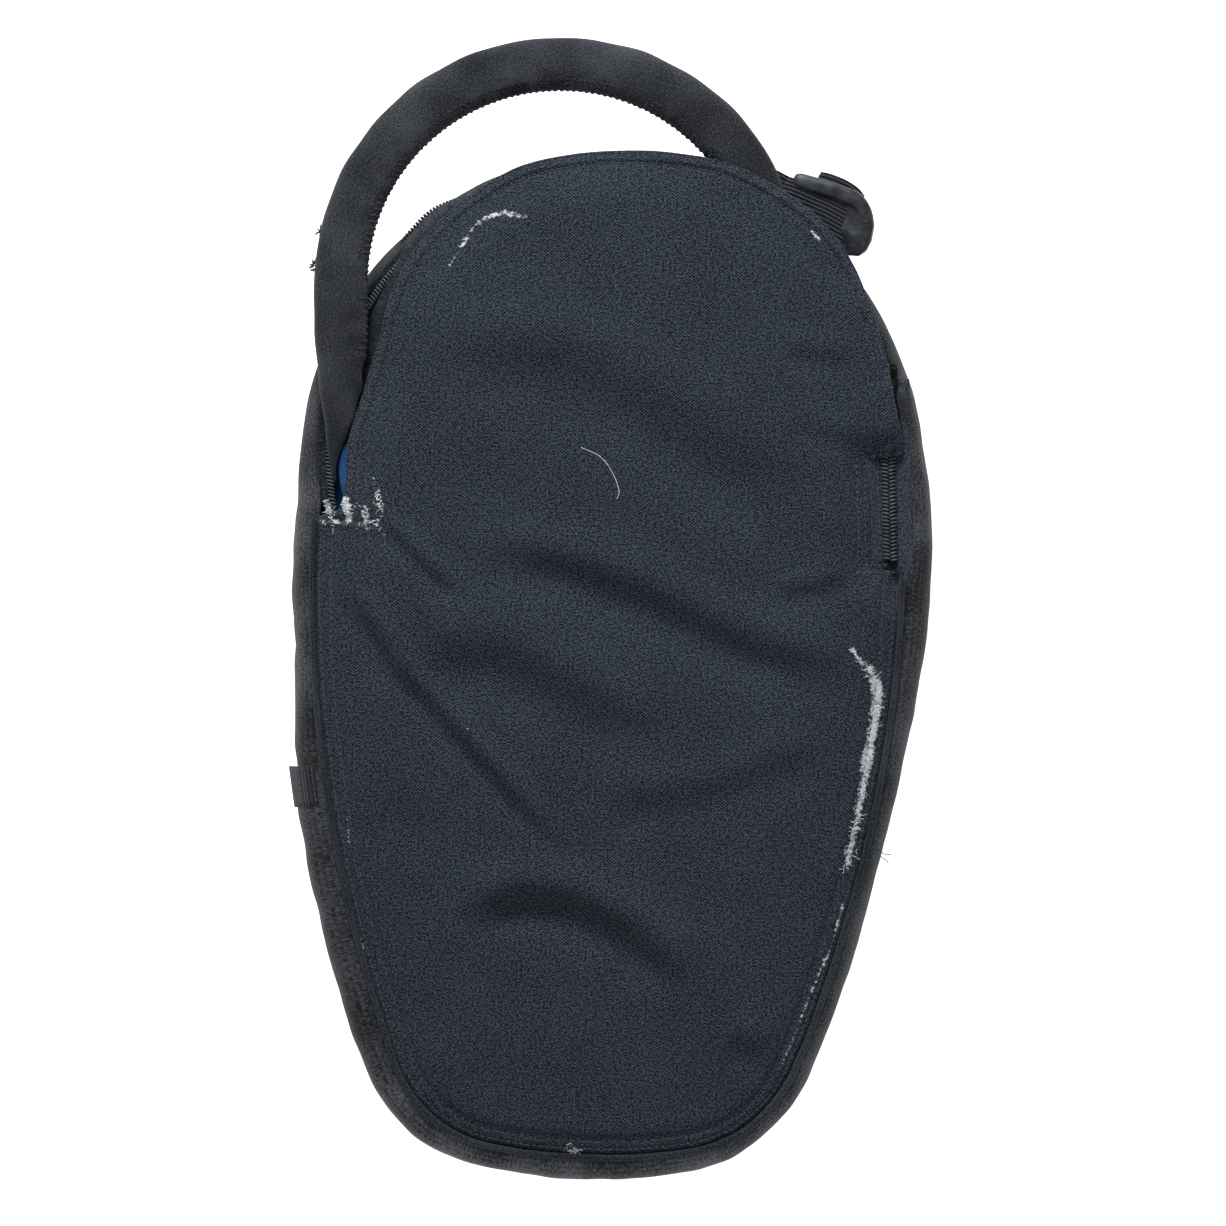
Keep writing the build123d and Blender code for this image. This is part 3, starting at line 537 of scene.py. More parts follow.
def fill_sheet(edge, spacing, border=()):
    """Points and triangles that fill a closed outline, with finer rows along its border."""
    low, high = edge.min(0), edge.max(0)
    xs = np.arange(low[0], high[0], spacing)
    ys = np.arange(low[1], high[1], spacing * 0.866)
    gx, gy = np.meshgrid(xs, ys)
    gx = gx + (np.arange(len(ys)) % 2)[:, None] * spacing / 2
    pts = np.column_stack([gx.ravel(), gy.ravel()])
    pts = pts[inside(pts, edge)]
    dense = resample(edge, 1.0, True)
    rows = []
    if border:
        fine = resample(edge, spacing * 0.75, True)
        way = np.roll(fine, -1, 0) - np.roll(fine, 1, 0)
        way /= np.linalg.norm(way, axis=1)[:, None]
        inward = np.column_stack([-way[:, 1], way[:, 0]])
        for k, distance in enumerate(border):
            row = fine + inward * distance
            row = row[inside(row, edge)]
            rows.append(spaced(row, [dense], distance * 0.93))
        pts = spaced(pts, [dense], border[-1] + spacing * 0.5)
    else:
        pts = spaced(pts, [dense], spacing * 0.6)
    pts = np.vstack(rows + [pts])
    verts = [Vector(p) for p in edge] + [Vector(p) for p in pts]
    out = delaunay_2d_cdt(verts, [], [list(range(len(edge)))], 1, 1e-5)
    return np.array([(v.x, v.y) for v in out[0]]), [tuple(f) for f in out[2]]


def inside(pts, edge):
    x, y = pts[:, 0], pts[:, 1]
    hit = np.zeros(len(pts), bool)
    for (x0, y0), (x1, y1) in zip(edge, np.roll(edge, -1, 0)):
        if y0 == y1:
            continue
        cross = (y0 > y) != (y1 > y)
        hit ^= cross & (x < (x1 - x0) * (y - y0) / (y1 - y0) + x0)
    return hit


def thick_sheet(flat, tris, top, under):
    """Closed solid between two height fields over the same triangles."""
    n = len(flat)
    verts = np.vstack([np.column_stack([flat, top]), np.column_stack([flat, under])])
    faces = [tuple(t) for t in tris] + [tuple(i + n for i in reversed(t)) for t in tris]
    used = {}
    for t in tris:
        for a, b in zip(t, t[1:] + t[:1]):
            used[(a, b)] = used.get((a, b), 0) + 1
    for a, b in used:
        if (b, a) not in used:
            faces.append((b, a, a + n, b + n))
    return verts, faces


# ------------------------------------------------------------------ camera, light, floor
SIGHT = 1.6
VIEW_WIDTH = 0.5697
camera = bpy.data.objects.new("camera", bpy.data.cameras.new("camera"))
bpy.context.scene.collection.objects.link(camera)
camera.location = (0.0041, -0.0009, SIGHT + 0.058)
camera.rotation_euler = (0, 0, radians(1.72))
camera.data.lens = 36 * SIGHT / VIEW_WIDTH
camera.data.clip_end = 20
bpy.context.scene.camera = camera
bpy.context.scene.view_settings.view_transform = "Standard"

world = bpy.data.worlds.new("studio")
bpy.context.scene.world = world
world.use_nodes = True
world.node_tree.nodes["Background"].inputs[0].default_value = (0.96, 0.98, 1.0, 1)
world.node_tree.nodes["Background"].inputs[1].default_value = 0.32


def softbox(name, place, size, power):
    light = bpy.data.lights.new(name, "AREA")
    light.shape, light.size, light.energy = "DISK", size, power
    obj = bpy.data.objects.new(name, light)
    bpy.context.scene.collection.objects.link(obj)
    obj.location = place
    obj.rotation_euler = (-Vector(place)).to_track_quat("-Z", "Y").to_euler()


softbox("key", (-0.35, 1.7, 1.05), 0.7, 45)
softbox("fill", (0.5, -1.1, 1.7), 1.4, 8)

floor_paint = Paint("floor", (0.93, 0.93, 0.93), 0.9, Emission_Color=(1, 1, 1, 1), Emission_Strength=0.85)
floor_paint.colour(floor_paint.mix(floor_paint.noise(floor_paint.coords(False), 3.0), (0.92, 0.92, 0.92),
                                   (0.95, 0.95, 0.95)))
floor_mesh = bpy.data.meshes.new("floor")
floor_mesh.from_pydata([(-4, -4, 0), (4, -4, 0), (4, 4, 0), (-4, 4, 0)], [], [(0, 1, 2, 3)])
floor_mesh.materials.append(floor_paint.mat)
floor = bpy.data.objects.new("floor", floor_mesh)
bpy.context.scene.collection.objects.link(floor)
floor.location.z = -0.0006

# ------------------------------------------------------------------ rear cover: panel and flap in one cloth
right_seam, left_seam = 11.0, 13.0


def seam_inset(s):
    """How far in from the outline the rear panel's seam lies."""
    half = ROUND / 2
    right = np.interp(s, [0, 60, 140, half], [13.5, 12.5, right_seam, right_seam])
    left = np.interp(ROUND - s, [0, 60, 140, 330, half], [13.5, 12.5, 14.0, left_seam, left_seam])
    return np.where(s < half, right, left)


low_right = round_at(1, 47.5)
low_left = round_at(-1, 66.0)
s_right = np.arange(0, low_right, 3.0)
s_left = np.arange(low_left, ROUND, 3.0)


def seam_line(s):
    x, y, nx, ny = at(s)
    inset = seam_inset(s)
    return np.column_stack([x - nx * inset, y - ny * inset])


chain_left = [CHAIN_END - CHAIN_ACROSS * 9.4, CHAIN_TOP + CHAIN * 30 - CHAIN_ACROSS * 9.4]
flap_edge = np.array([
    (137.2, 103.0), (136.4, 108.0), (134.4, 117.0), (132.2, 126.5), (130.0, 137.0), (126.8, 150.5),
                      (123.4, 160.8), (119.9, 170.7), (116.9, 178.4), (113.3, 186.6),
    (108.6, 194.8), (103.4, 201.9), (97.6, 208.4), (91.9, 213.8), (80.5, 221.8), (69.2, 228.2), (57.9, 233.6),
    (46.7, 237.3), (30.0, 239.8), (10.2, 241.0), (-17.7, 238.9), (-45.4, 232.1), (-66.0, 219.7),
                      (-78.0, 209.8),
    (-91.2, 195.2), (-97.6, 184.7), (-102.8, 173.5), (-106.3, 162.2), (-108.4, 151.0), (-110.5, 143.0),
    (-113.1, 133.1), (-115.7, 123.2), (-118.3, 114.5), (-120.6, 106.5), (-121.9, 98.0), (-122.3, 90.0),
    (-122.6, 82.0), (-123.0, 74.5),
]) + (0, MID)
flap_curve = resample(spline(flap_edge), 2.0)
corner_right = spline([chain_left[1] + (0.0, -2.0), chain_left[1] + (2.2, -0.6), chain_left[1] + (8.0, 0.2),
                       flap_curve[0]], 4)
slot_foot = spline([seam_line(s_right[-1:])[0], (133.6, MID + 51.4), (128.0, MID + 51.9),
                    chain_left[0] + (0, 2.0)], 4)
left_foot = spline([flap_curve[-1], (-123.8, MID + 70.8), (-126.6, MID + 68.4), (-131.0, MID + 67.4),
                    seam_line(s_left[:1])[0]], 4)
edge = np.vstack([seam_line(s_right)[:-1], slot_foot[:-1],
                  resample([slot_foot[-1], corner_right[0]], 3.0)[:-1],
                  corner_right[:-1], flap_curve[:-1], left_foot[:-1], seam_line(s_left)])
free_edge = np.vstack([corner_right[-3:], flap_curve, left_foot[:5]])
sewn_edge = np.vstack([seam_line(s_left), seam_line(s_right)])
slot_edge = np.vstack([slot_foot, corner_right])

# Slack folds: the cloth drops from the line's left to its right.
# Each has its points, from the bag's middle, then its width and its depth.
FOLDS = (
    ([(-126, 42), (-94, -4), (-46, -54), (-17, -86)], 4.6, 2.8),
    ([(-66, 56), (-21, 47), (16, 35), (63, 14), (120, -3)], 9.0, 3.4),
    ([(-92, 7), (-48, 4), (-15, -11), (28, -35)], 12.0, 3.2),
    ([(-66, -119), (-35, -107), (-12, -109), (16, -122), (45, -149)], 8.5, 4.4),
    ([(-92, 146), (-24, 141), (14, 124), (51, 102), (95, 78)], 14.0, 2.6),
    ([(-106, 67), (-86, 47), (-66, 29)], 3.4, 1.6),
    ([(78, 37), (100, 40), (116, 48)], 4.5, 1.2),
    ([(-4, -64), (42, -59), (75, -46), (110, -32)], 8.0, 1.5),
    ([(62, -170), (84, -176)], 7.0, 1.7),
    ([(78, 150), (114, 146)], 5.0, 0.9),
    ([(82, 117), (114, 109)], 5.0, 0.9),
    ([(-100, -60), (-70, -75)], 10.0, 1.0),
    ([(-116, 55), (-106, 20), (-100, -20)], 7.0, 1.0),
)


def cover_height(p):
    """Height of the cloth's top face."""
    z = np.full(len(p), PANEL_TOP - 0.4)
    sewn, _, _ = near_line(p, sewn_edge)
    free, _, share = near_line(p, free_edge)
    slot, _, _ = near_line(p, slot_edge)
    z += 2.4 * smooth(np.minimum(sewn, free) / 60)
    z -= 3.5 * (1 - smooth(sewn / 13)) - 1.1 * np.exp(-((sewn - 2.2) / 2.0) ** 2)
    for seam, rows in ((sewn, (2.4, 7.6)), (free, (2.0, 6.0))):
        for k, row in enumerate(rows):
            z -= (0.5 + 0.4 * k) * np.exp(-((seam - row) / 1.0) ** 2)
        z += 0.6 * np.exp(-((seam - sum(rows) / 2) / 1.5) ** 2)
    over = np.exp(-((p[:, 0] - 76) / 46) ** 2) * smooth((p[:, 1] - MID - 170) / 40)
    corner = (smooth((p[:, 1] - MID - 128) / 20) * smooth((p[:, 0] - 80) / 30)
              * (1 - smooth((p[:, 1] - MID - 165) / 30)))
    droop = 5.0 * (1 - over) * (1 - 0.75 * corner)
    z -= droop * (1 - smooth(free / 26)) * smooth(((p - FOLD_LEFT) @ FOLD_OUT + 4) / 30)
    z -= 6.4 * (1 - smooth(slot / 19)) * (1 - smooth((p[:, 1] - MID - 100) / 27))
    z -= 0.8 * np.exp(-((slot - 2.2) / 0.8) ** 2)
    rel = p - (0, MID)
    for line, width, depth in FOLDS:
        dist, sign, along = near_line(rel, line)
        u = dist * sign / width
        ends = smooth(np.minimum(along, 1 - along) / 0.22 + 0.02)
        z += depth * u * np.exp(0.5 - 0.5 * u * u) * ends
    z += 0.35 * waves(p[:, 0], p[:, 1], 60, 11) + 0.14 * waves(p[:, 0], p[:, 1], 17, 12)
    pucker = np.exp(-(np.minimum(sewn, np.maximum(free - 3, 0)) / 6) ** 2)
    z += 0.28 * pucker * waves(p[:, 0], p[:, 1], 9, 13)
    return z


# Scuffed places: (points, width, strength, from the bag's middle)
SCUFFS = (
    ([(-72, 193), (-65, 204), (-58, 209), (-50, 210), (-44, 208), (-37, 206)], 1.4, 0.48),
    ([(-60, 207.5), (-52, 210), (-46, 208)], 1.6, 0.62), ([(-76, 184), (-74, 190)], 1.4, 0.46),
    ([(90.5, 205.5), (95, 201.5)], 0.9, 0.52),
    ([(115.5, 11.5), (118, 7.5), (123.5, 3.0), (127.5, -6.8)], 1.6, 0.60),
    ([(124.5, 2.5), (128, -8), (126.6, -25), (123.4, -45)], 3.4, 0.62),
    ([(125, -36), (122.6, -53), (119, -74), (116.2, -90)], 2.0, 0.52),
    ([(115, -107), (109.6, -128), (101.8, -147), (94.5, -168), (87, -187)], 1.1, 0.47),
    ([(-119, -42), (-115, -88), (-110, -121), (-103, -153)], 1.0, 0.36),
    ([(-11.5, -225.5), (-7.4, -222.0), (-4.5, -225.5)], 1.0, 0.60),
    ([(-132.4, 63.5), (-123.1, 63.2), (-114.6, 61.8), (-105.3, 61.2)], 1.6, 0.52),
    ([(-122.0, 74), (-120, 70.4), (-119.6, 65.4)], 2.3, 0.66), ([(-118, 73), (-113, 71)], 1.2, 0.5),
    ([(-109.7, 84.6), (-106.5, 79.2), (-104.2, 70.5), (-106.0, 64.0)], 1.3, 0.55),
    ([(-106.0, 64.0), (-110.5, 63.4), (-113.0, 68.0), (-110.6, 73.0)], 1.4, 0.52),
    ([(-99, 115), (-98.2, 115.5)], 0.7, 0.7), ([(66, 62), (66.5, 62)], 0.7, 0.7),
          ([(-62, -30), (-61.6, -30)], 0.7, 0.6),
)


def scuffed(p):
    amount = np.zeros(len(p))
    rel = p - (0, MID)
    for line, width, strength in SCUFFS:
        dist, _, _ = near_line(rel, line)
        amount = np.maximum(amount, strength * np.exp(-(dist / width) ** 2 * 0.6))
    return amount


BORDER = (0.6, 1.3, 2.0, 2.7, 3.4, 4.2, 5.2, 6.2, 7.2, 8.2, 9.2, 10.4)
flat, tris = fill_sheet(edge, 2.1, BORDER)
top = cover_height(flat)
rim, _, _ = near_line(flat, np.vstack([edge, edge[:1]]))
roll = 2.0
curl = np.clip(1 - rim / roll, 0, 1)
top_face = top - roll * 0.55 * (1 - np.sqrt(1 - curl ** 2 * 0.96))
verts, faces = thick_sheet(flat, tris, top_face, top - 2.6)
wear = scuffed(flat)
cover = make("rear_cover", verts, faces, NYLON, None, "shell_nylon", "rear_panel", "flap_panel",
             uv=np.vstack([flat, flat]), wear=np.concatenate([wear, wear * 0]))


def across_fold(obj):
    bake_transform(obj)


across_fold(cover)

verts, faces = thick_sheet(flat, tris, top - 2.75, top - 3.35)
lining = make("rear_cover_lining", verts, faces, BLUE, None, "blue_lining", "rear_panel_lining",
              "flap_lining")
across_fold(lining)


peek = spline([(-120.2, 106.0), (-121.4, 98.0), (-121.9, 90.0), (-122.2, 82.0), (-122.8, 73.5)], 8) + (0, MID)
share = np.linspace(0, 1, len(peek))
wide = 0.4 + 4.6 * np.sin(pi * share) ** 0.8
high = cover_height(peek) - 2.2
rows = [np.column_stack([peek[:, 0] - wide * a + 1.2, peek[:, 1],
                         high - 0.2 - (3.4 * a ** 2)]) for a in (0, 0.35, 0.7, 1.0)]
rows += [r - (0.1, 0, 0.5) for r in rows[::-1]]
v, f, uv = sweep(np.stack(rows, 1))
lining_edge = make("flap_lining_edge", v, f, BLUE, None, "blue_lining", uv=uv)
across_fold(lining_edge)


def on_cover(line, lift=0.0):
    line = np.array(line, float)
    return np.column_stack([line, cover_height(line) + lift])


def offset_line(line, distance):
    """A line drawn in from another, to its left."""
    line = np.array(line, float)
    way = np.gradient(line, axis=0)
    way /= np.linalg.norm(way, axis=1)[:, None]
    for _ in range(3):
        way[1:-1] = (way[:-2] + way[1:-1] + way[2:]) / 3
    return line + np.column_stack([-way[:, 1], way[:, 0]]) * distance


bits = Bits()
for inset_by in (2.4, 7.6):
    stitches(bits, on_cover(offset_line(sewn_edge, inset_by), 0.0), 3.0, 2.2, 0.6)
bits.make("rear_panel_stitches", THREAD, "back_shell", "shell_nylon")
bits = Bits()
for inset_by in (2.0, 6.0):
    line = offset_line(flap_curve, inset_by)
    line = line[((line - FOLD_LEFT) @ FOLD_OUT) > 1.0]
    stitches(bits, on_cover(line, 0.0), 3.0, 2.2, 0.6)
across_fold(bits.make("flap_stitches", THREAD, None, "shell_nylon"))
bits = Bits()
chain_line = resample([chain_left[0] + (0, -3), chain_left[1]], 3.0)
for inset_by in (2.2, 5.6):
    stitches(bits, on_cover(offset_line(chain_line, inset_by), 0.0), 3.0, 2.2, 0.6)
stitches(bits, on_cover(resample([(116.6, MID + 47.4), (136.0, MID + 48.0)], 3.0)), 3.0, 2.3, 0.6)
bits.make("chain_side_stitches", THREAD, "back_shell", "shell_nylon")

# ------------------------------------------------------------------ gussets
STEP = 2.4
s_all = np.arange(0, ROUND, ROUND / round(ROUND / STEP))
R_BULGE = ([0, 50, 75, 100, 150, 175, 225, 250, 275, 300, 325, 350, 375, 400, 425, 450, 638],
           [0, -0.4, -1.4, -2.6, -1.8, -1.8, -2.8, -1.2, -0.4, 1.0, 2.4, 3.8, 4.4, 3.2, 1.0, 0.2, 0])
L_BULGE = ([0, 25, 50, 75, 100, 150, 200, 225, 250, 275, 300, 325, 350, 375, 400, 425, 450, 500, 550, 575,
            638],
           [0, -0.6, 0.4, 1.4, 1.8, 2.6, 3.0, 2.8, 2.2, 0.6, -1.6, -2.8, -1.8, -2.4, -3.0, -3.6, -3.6, -3.6,
            -2.4,
            -0.4, 0.4])


def lean_in(s):
    """How far the rim of the open mouth leans in over the pocket."""
    half = ROUND / 2
    left = np.interp(ROUND - s, [382, 412, 446, 480, 530, 638], [13.0, 7.6, 4.6, 3.0, 1.6, 1.0])
    right = np.interp(s, [430, 448, 475, 520, 638], [1.8, 1.4, 0.6, 0.6, 1.0])
    return np.where(s < half, right, left)


def bulge(s):
    half = ROUND / 2
    return np.where(s < half, np.interp(s, *R_BULGE), np.interp(ROUND - s, *L_BULGE))


mouth = smooth((s_all - round_at(1, 131)) / 16) * (1 - smooth((s_all - round_at(-1, 92)) / 24))
chained = smooth((s_all - round_at(1, 40)) / 10) * (1 - mouth) * (s_all < ROUND / 2)
full_profile = np.array([(13.6, 55.6), (12.4, 56.2), (11.0, 57.6), (8.6, 58.3), (6.0, 57.0), (3.4, 54.6),
                         (1.4, 51.0),
                         (0.0, 46.8), (-0.8, 42.6), (-0.3, 38.6), (1.5, 35.0), (3.0, 34.6), (3.8, 35.4),
                         (2.6, 39.0),
                         (2.4, 43.0), (3.2, 47.0), (4.6, 50.4), (6.6, 53.2), (9.0, 55.2), (12.0, 56.0)])
mouth_profile = np.array([(5.6, 44.2), (5.0, 45.2), (4.0, 45.4), (3.0, 45.0), (2.0, 44.2), (1.2, 43.2),
                          (0.5, 42.0),
                          (0.0, 40.6), (-0.3, 39.2), (0.1, 37.2), (1.5, 35.0), (3.0, 34.6), (3.8, 35.4),
                          (3.0, 37.4),
                          (2.8, 39.0), (2.9, 40.4), (3.2, 41.6), (3.7, 42.6), (4.4, 43.2), (5.2, 43.6)])
chain_profile = full_profile + np.array([(-3.6, -4.8)] * 3 + [(-2.4, -3.6), (-1.4, -2.4),
                                                              (-0.6, -1.2)] + [(0, 0)] * 10
                                        + [(-0.6, -1.2), (-1.4, -2.4), (-2.4, -3.4), (-3.2, -4.4)])
profiles = (full_profile[None] * (1 - mouth - chained)[:, None, None]
            + mouth_profile[None] * mouth[:, None, None]
            + chain_profile[None] * chained[:, None, None])
shift = np.array([0.0, 0.15, 0.3, 0.5, 0.75, 0.95, 1, 1, 1, 0.6, 0.1, 0, 0, 0.6, 1, 1, 0.95, 0.75, 0.5, 0.15])
extra = seam_inset(s_all) - 12.0
crease = waves(s_all, s_all * 0, 38, 21)[:, None] * 0.45 + waves(s_all, s_all * 0, 14, 22)[:, None] * 0.2
profiles[..., 0] -= (bulge(s_all)[:, None] + crease) * shift[None] * (1 - 0.5 * mouth[:, None])
profiles[..., 0] += (extra * (1 - mouth))[:, None] * (1 - shift[None])
rim_share = np.array([1, 1, 0.96, 0.86, 0.7, 0.52, 0.36, 0.2, 0.08, 0, 0, 0, 0, 0.05, 0.12, 0.25, 0.4, 0.6,
                      0.8, 0.96])
profiles[..., 0] += (0.62 * lean_in(s_all) * mouth)[:, None] * rim_share[None]
profiles[..., 1] += 0.5 * waves(s_all, s_all * 0, 30, 23)[:, None] * np.minimum(shift * 1.2, 1)[None]
v, f, uv = sweep(ring(s_all, profiles), True, True)
gusset = make("back_gusset_soft", v, f, GUSSET, "back_shell", "gusset_knit", "back_gusset", uv=uv)

front_profile = np.array([(2.8, 24.6), (1.6, 24.8), (0.4, 23.6), (-0.6, 19.0), (-0.4, 14.6), (1.4, 9.6),
                          (4.6, 5.2),
                          (8.2, 2.2), (11.0, 1.0), (12.6, 1.6), (12.4, 3.2), (9.6, 4.6), (6.4, 7.4),
                          (4.0, 11.4),
                          (2.8, 15.6), (2.6, 20.0)])
front = np.repeat(front_profile[None], len(s_all), 0)
shift = np.array([0.1, 0.3, 0.6, 1, 1, 0.9, 0.6, 0.2, 0, 0, 0, 0.2, 0.6, 0.9, 1, 0.5])
crease = waves(s_all, s_all * 0, 44, 31)[:, None] * 0.5 + waves(s_all, s_all * 0, 15, 32)[:, None] * 0.25
front[..., 0] -= (crease + np.clip(bulge(s_all), -2.2, 1.5)[:, None]) * shift[None]
v, f, uv = sweep(ring(s_all, front)[:, ::-1], True, True)
gusset = make("front_gusset_soft", v, f, GUSSET, "front_shell", "gusset_knit", "front_gusset", uv=uv)

# ------------------------------------------------------------------ piping
a = np.linspace(0, 2 * pi, 12, endpoint=False)
pipe_z = PANEL_TOP - 1.5
s_pipe = np.concatenate([np.arange(low_left - ROUND, 0, 2.5), np.arange(0, low_right, 2.5)])
s_mod = np.mod(s_pipe, ROUND)
pipe = np.stack([(seam_inset(s_mod) - 1.1)[:, None] + 1.4 * np.cos(a)[None],
                 pipe_z + 1.2 * np.sin(a)[None] + 0.15 * waves(s_pipe, s_pipe * 0, 22, 41)[:, None]], -1)
v, f, uv = sweep(ring(s_pipe, pipe)[:, ::-1])
make("rear_piping_cord", v, f, PIPING, "back_shell", "piping", "rear_piping", uv=uv)
pipe = np.column_stack([10.6 + 1.5 * np.cos(a), 1.7 + 1.5 * np.sin(a)])
v, f, uv = sweep(ring(s_all, pipe)[:, ::-1], True, True)
make("front_piping_cord", v, f, PIPING, "front_shell", "piping", "front_piping", uv=uv)

# ------------------------------------------------------------------ front panel and linings


def egg_edge(inset, step=3.0):
    s = np.arange(0, ROUND, ROUND / round(ROUND / step))
    x, y, nx, ny = at(s)
    return np.column_stack([x - nx * inset, y - ny * inset])


egg12 = egg_edge(11.6)
egg_flat, egg_tris = fill_sheet(egg12, 3.2)
edge_gap, _, _ = near_line(egg_flat, np.vstack([egg12, egg12[:1]]))
under = 0.15 + 1.5 * (1 - smooth(edge_gap / 14)) + 0.12 * (1 + waves(egg_flat[:, 0], egg_flat[:, 1], 50, 51))
v, f = thick_sheet(egg_flat, egg_tris, under + 2.9, under)
panel = make("front_panel_cloth", v, f, NYLON, "front_shell", "shell_nylon", "front_panel")


def lining_sheet(name, inset, low, high, mat, body, slot, node, size, depth=0.3):
    outer = egg_edge(inset, 4.0)
    p, t = fill_sheet(outer, 5.0)
    lift = depth * waves(p[:, 0], p[:, 1], 40, size)
    made = make(name, *thick_sheet(p, t, high + lift, low + lift), mat, body, slot, node)
    return made


low, high = box("pocket_lining")
lining_sheet("pocket_floor_lining", 4.6, low[2] + 0.1, high[2], BLUE, "back_shell", "blue_lining",
             "pocket_lining", 61,
             0.05)
low, high = box("back_wall_lining")
lining_sheet("back_wall_fleece", 4.6, low[2], high[2] - 0.1, FLEECE, "back_shell", "fleece_lining",
             "back_wall_lining",
             62, 0.05)
low, high = box("front_lining")
lining_sheet("front_fleece", 11.9, low[2] + 0.2, high[2], FLEECE, "front_shell", "fleece_lining",
             "front_lining", 63,
             0.1)
wall = [(12.2, 4.4), (9.4, 5.6), (6.4, 8.4), (4.6, 12.4), (3.6, 17.0), (3.4, 23.0), (2.9, 23.4), (2.9, 17.0),
        (3.9, 12.0), (5.9, 7.9), (9.1, 5.0), (12.2, 3.8)]
v, f, uv = sweep(ring(s_all[::2], wall)[:, ::-1], True, True)
made = make("front_wall_fleece", v, f, FLEECE, "front_shell", "fleece_lining", uv=uv)

# ------------------------------------------------------------------ zips


def tooth(bits, place, along, across, up, pitch):
    """One loop of zip coil: it leans a little, with its head on the meeting line."""
    t = np.linspace(0, 1, 6)
    reach = np.array([0, 0.5, 0.94, 1.0, 0.94, 0.5])
    rise = np.array([0.0, 0.9, 0.75, 0.0, -0.75, -0.9])
    lean = np.array([-0.3, -0.2, 0.0, 0.05, 0.15, 0.3])
    path = (place + across * (reach[:, None] * 3.1) + up * (rise[:, None] * 1.05)
            + along * (lean[:, None] * pitch))
    rows = tube_rows(path, [0.42, 0.5, 0.6, 0.62, 0.6, 0.42], 6, along)
    v, f, _ = sweep(rows)
    bits.add(v, f)


def ring_coil(bits, s_from, s_to, inset, z, direction, pitch=1.75, phase=0.0):
    """Teeth round the bag that reach up (1) or down (-1)."""
    s = np.arange(s_from + phase * pitch, s_to, pitch)
    x, y, nx, ny = at(s)
    for px, py, ux, uy in zip(x - nx * inset, y - ny * inset, nx, ny):
        tooth(bits, np.array([px, py, z]), np.array([-uy, ux, 0]), np.array([0, 0, direction]),
              np.array([ux, uy, 0]), pitch)


split_z = (box("main_zip_coil_front")[1][2] + box("main_zip_coil_back")[0][2]) / 2
zip_from = round_at(1, -215.6)
zip_to = round_at(-1, -215.6)
bits = Bits()
ring_coil(bits, zip_from, zip_to, 3.8, split_z - 3.3, 1)
bits.make("main_zip_teeth_front", COIL, "front_shell", "zip_coil", "main_zip_coil_front")
bits = Bits()
ring_coil(bits, zip_from, zip_to, 3.8, split_z + 3.3, -1, phase=0.5)
bits.make("main_zip_teeth_back", COIL, "back_shell", "zip_coil", "main_zip_coil_back")
s_zip = np.arange(zip_from, zip_to, 3.0)
for name, z_in, z_out, body, node in (("front", 18.6, split_z - 2.7, "front_shell", "main_zip_tape_front"),
                                      ("back", 40.0, split_z + 2.7, "back_shell", "main_zip_tape_back")):
    tape = [(3.3, z_in), (3.0, z_out), (3.6, z_out), (4.0, (z_in + z_out) / 2), (4.1, z_in)]
    rows = ring(s_zip, tape)
    v, f, uv = sweep(rows if name == "front" else rows[:, ::-1])
    make(f"main_zip_cloth_{name}", v, f, TAPE, body, "zip_tape", node, uv=uv)

s_hinge = np.arange(zip_to - ROUND - 1.0, zip_from + 1.0, 2.4)
heights = np.linspace(20.5, 38.5, 15)
mid = (heights - split_z) / 9
strip = [(2.9 - 0.5 * np.exp(-m * m * 6), h) for m, h in zip(mid, heights)]
strip += [(4.0 - 0.5 * np.exp(-m * m * 6), h) for m, h in zip(mid[::-1], heights[::-1])]
v, f, uv = sweep(ring(s_hinge, strip))
hinge = make("hinge_strip_cloth", v, f, GUSSET, None, "gusset_knit", "hinge_strip_front",
             "hinge_strip_back", uv=uv)
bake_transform(hinge)

# The pocket's zip: open halves, and the closed stretch down the right side
mouth_from, mouth_to = round_at(1, 134.0), round_at(-1, 70.0)
s_mouth = np.arange(mouth_from, mouth_to, 2.6)
tape = np.array([(3.4, 42.6), (4.2, 45.3), (5.4, 46.3), (8.8, 46.5), (8.8, 45.9), (5.6, 45.7), (5.0, 44.6),
                 (4.4, 42.6)])
tape = np.repeat(tape[None], len(s_mouth), 0)
tape[..., 0] += lean_in(s_mouth)[:, None] * np.array([0.62, 0.66, 0.72, 1, 1, 0.72, 0.66, 0.62])
end_rise = 5.5 * (1 - smooth((mouth_to - s_mouth) / 26)) - 1.5 * (1 - smooth((s_mouth - mouth_from) / 60))
tape[..., 1] += end_rise[:, None]
v, f, uv = sweep(ring(s_mouth, tape))
# The mouth's outer tape takes the darkened tape colour, painted shade.
make("pocket_zip_cloth_outer", v, f, SHADED_MOUTH_TAPE, "back_shell", "zip_tape", "pocket_zip_tape_outer", uv=uv)
bits = Bits()
s = np.arange(mouth_from, mouth_to, 1.75)
x, y, nx, ny = at(s)
inset = 6.6 + lean_in(s)
rise = 5.5 * (1 - smooth((mouth_to - s) / 26)) - 1.5 * (1 - smooth((s - mouth_from) / 60))
for px, py, ux, uy, up_by in zip(x - nx * inset, y - ny * inset, nx, ny, rise):
    tooth(bits, np.array([px, py, 46.9 + up_by]), np.array([-uy, ux, 0]),
          np.array([-ux * 0.9, -uy * 0.9, -0.1]),
          np.array([0, 0, 0.75]), 1.75)
bits.make("pocket_zip_teeth_outer", COIL, "back_shell", "zip_coil", "pocket_zip_coil_outer")

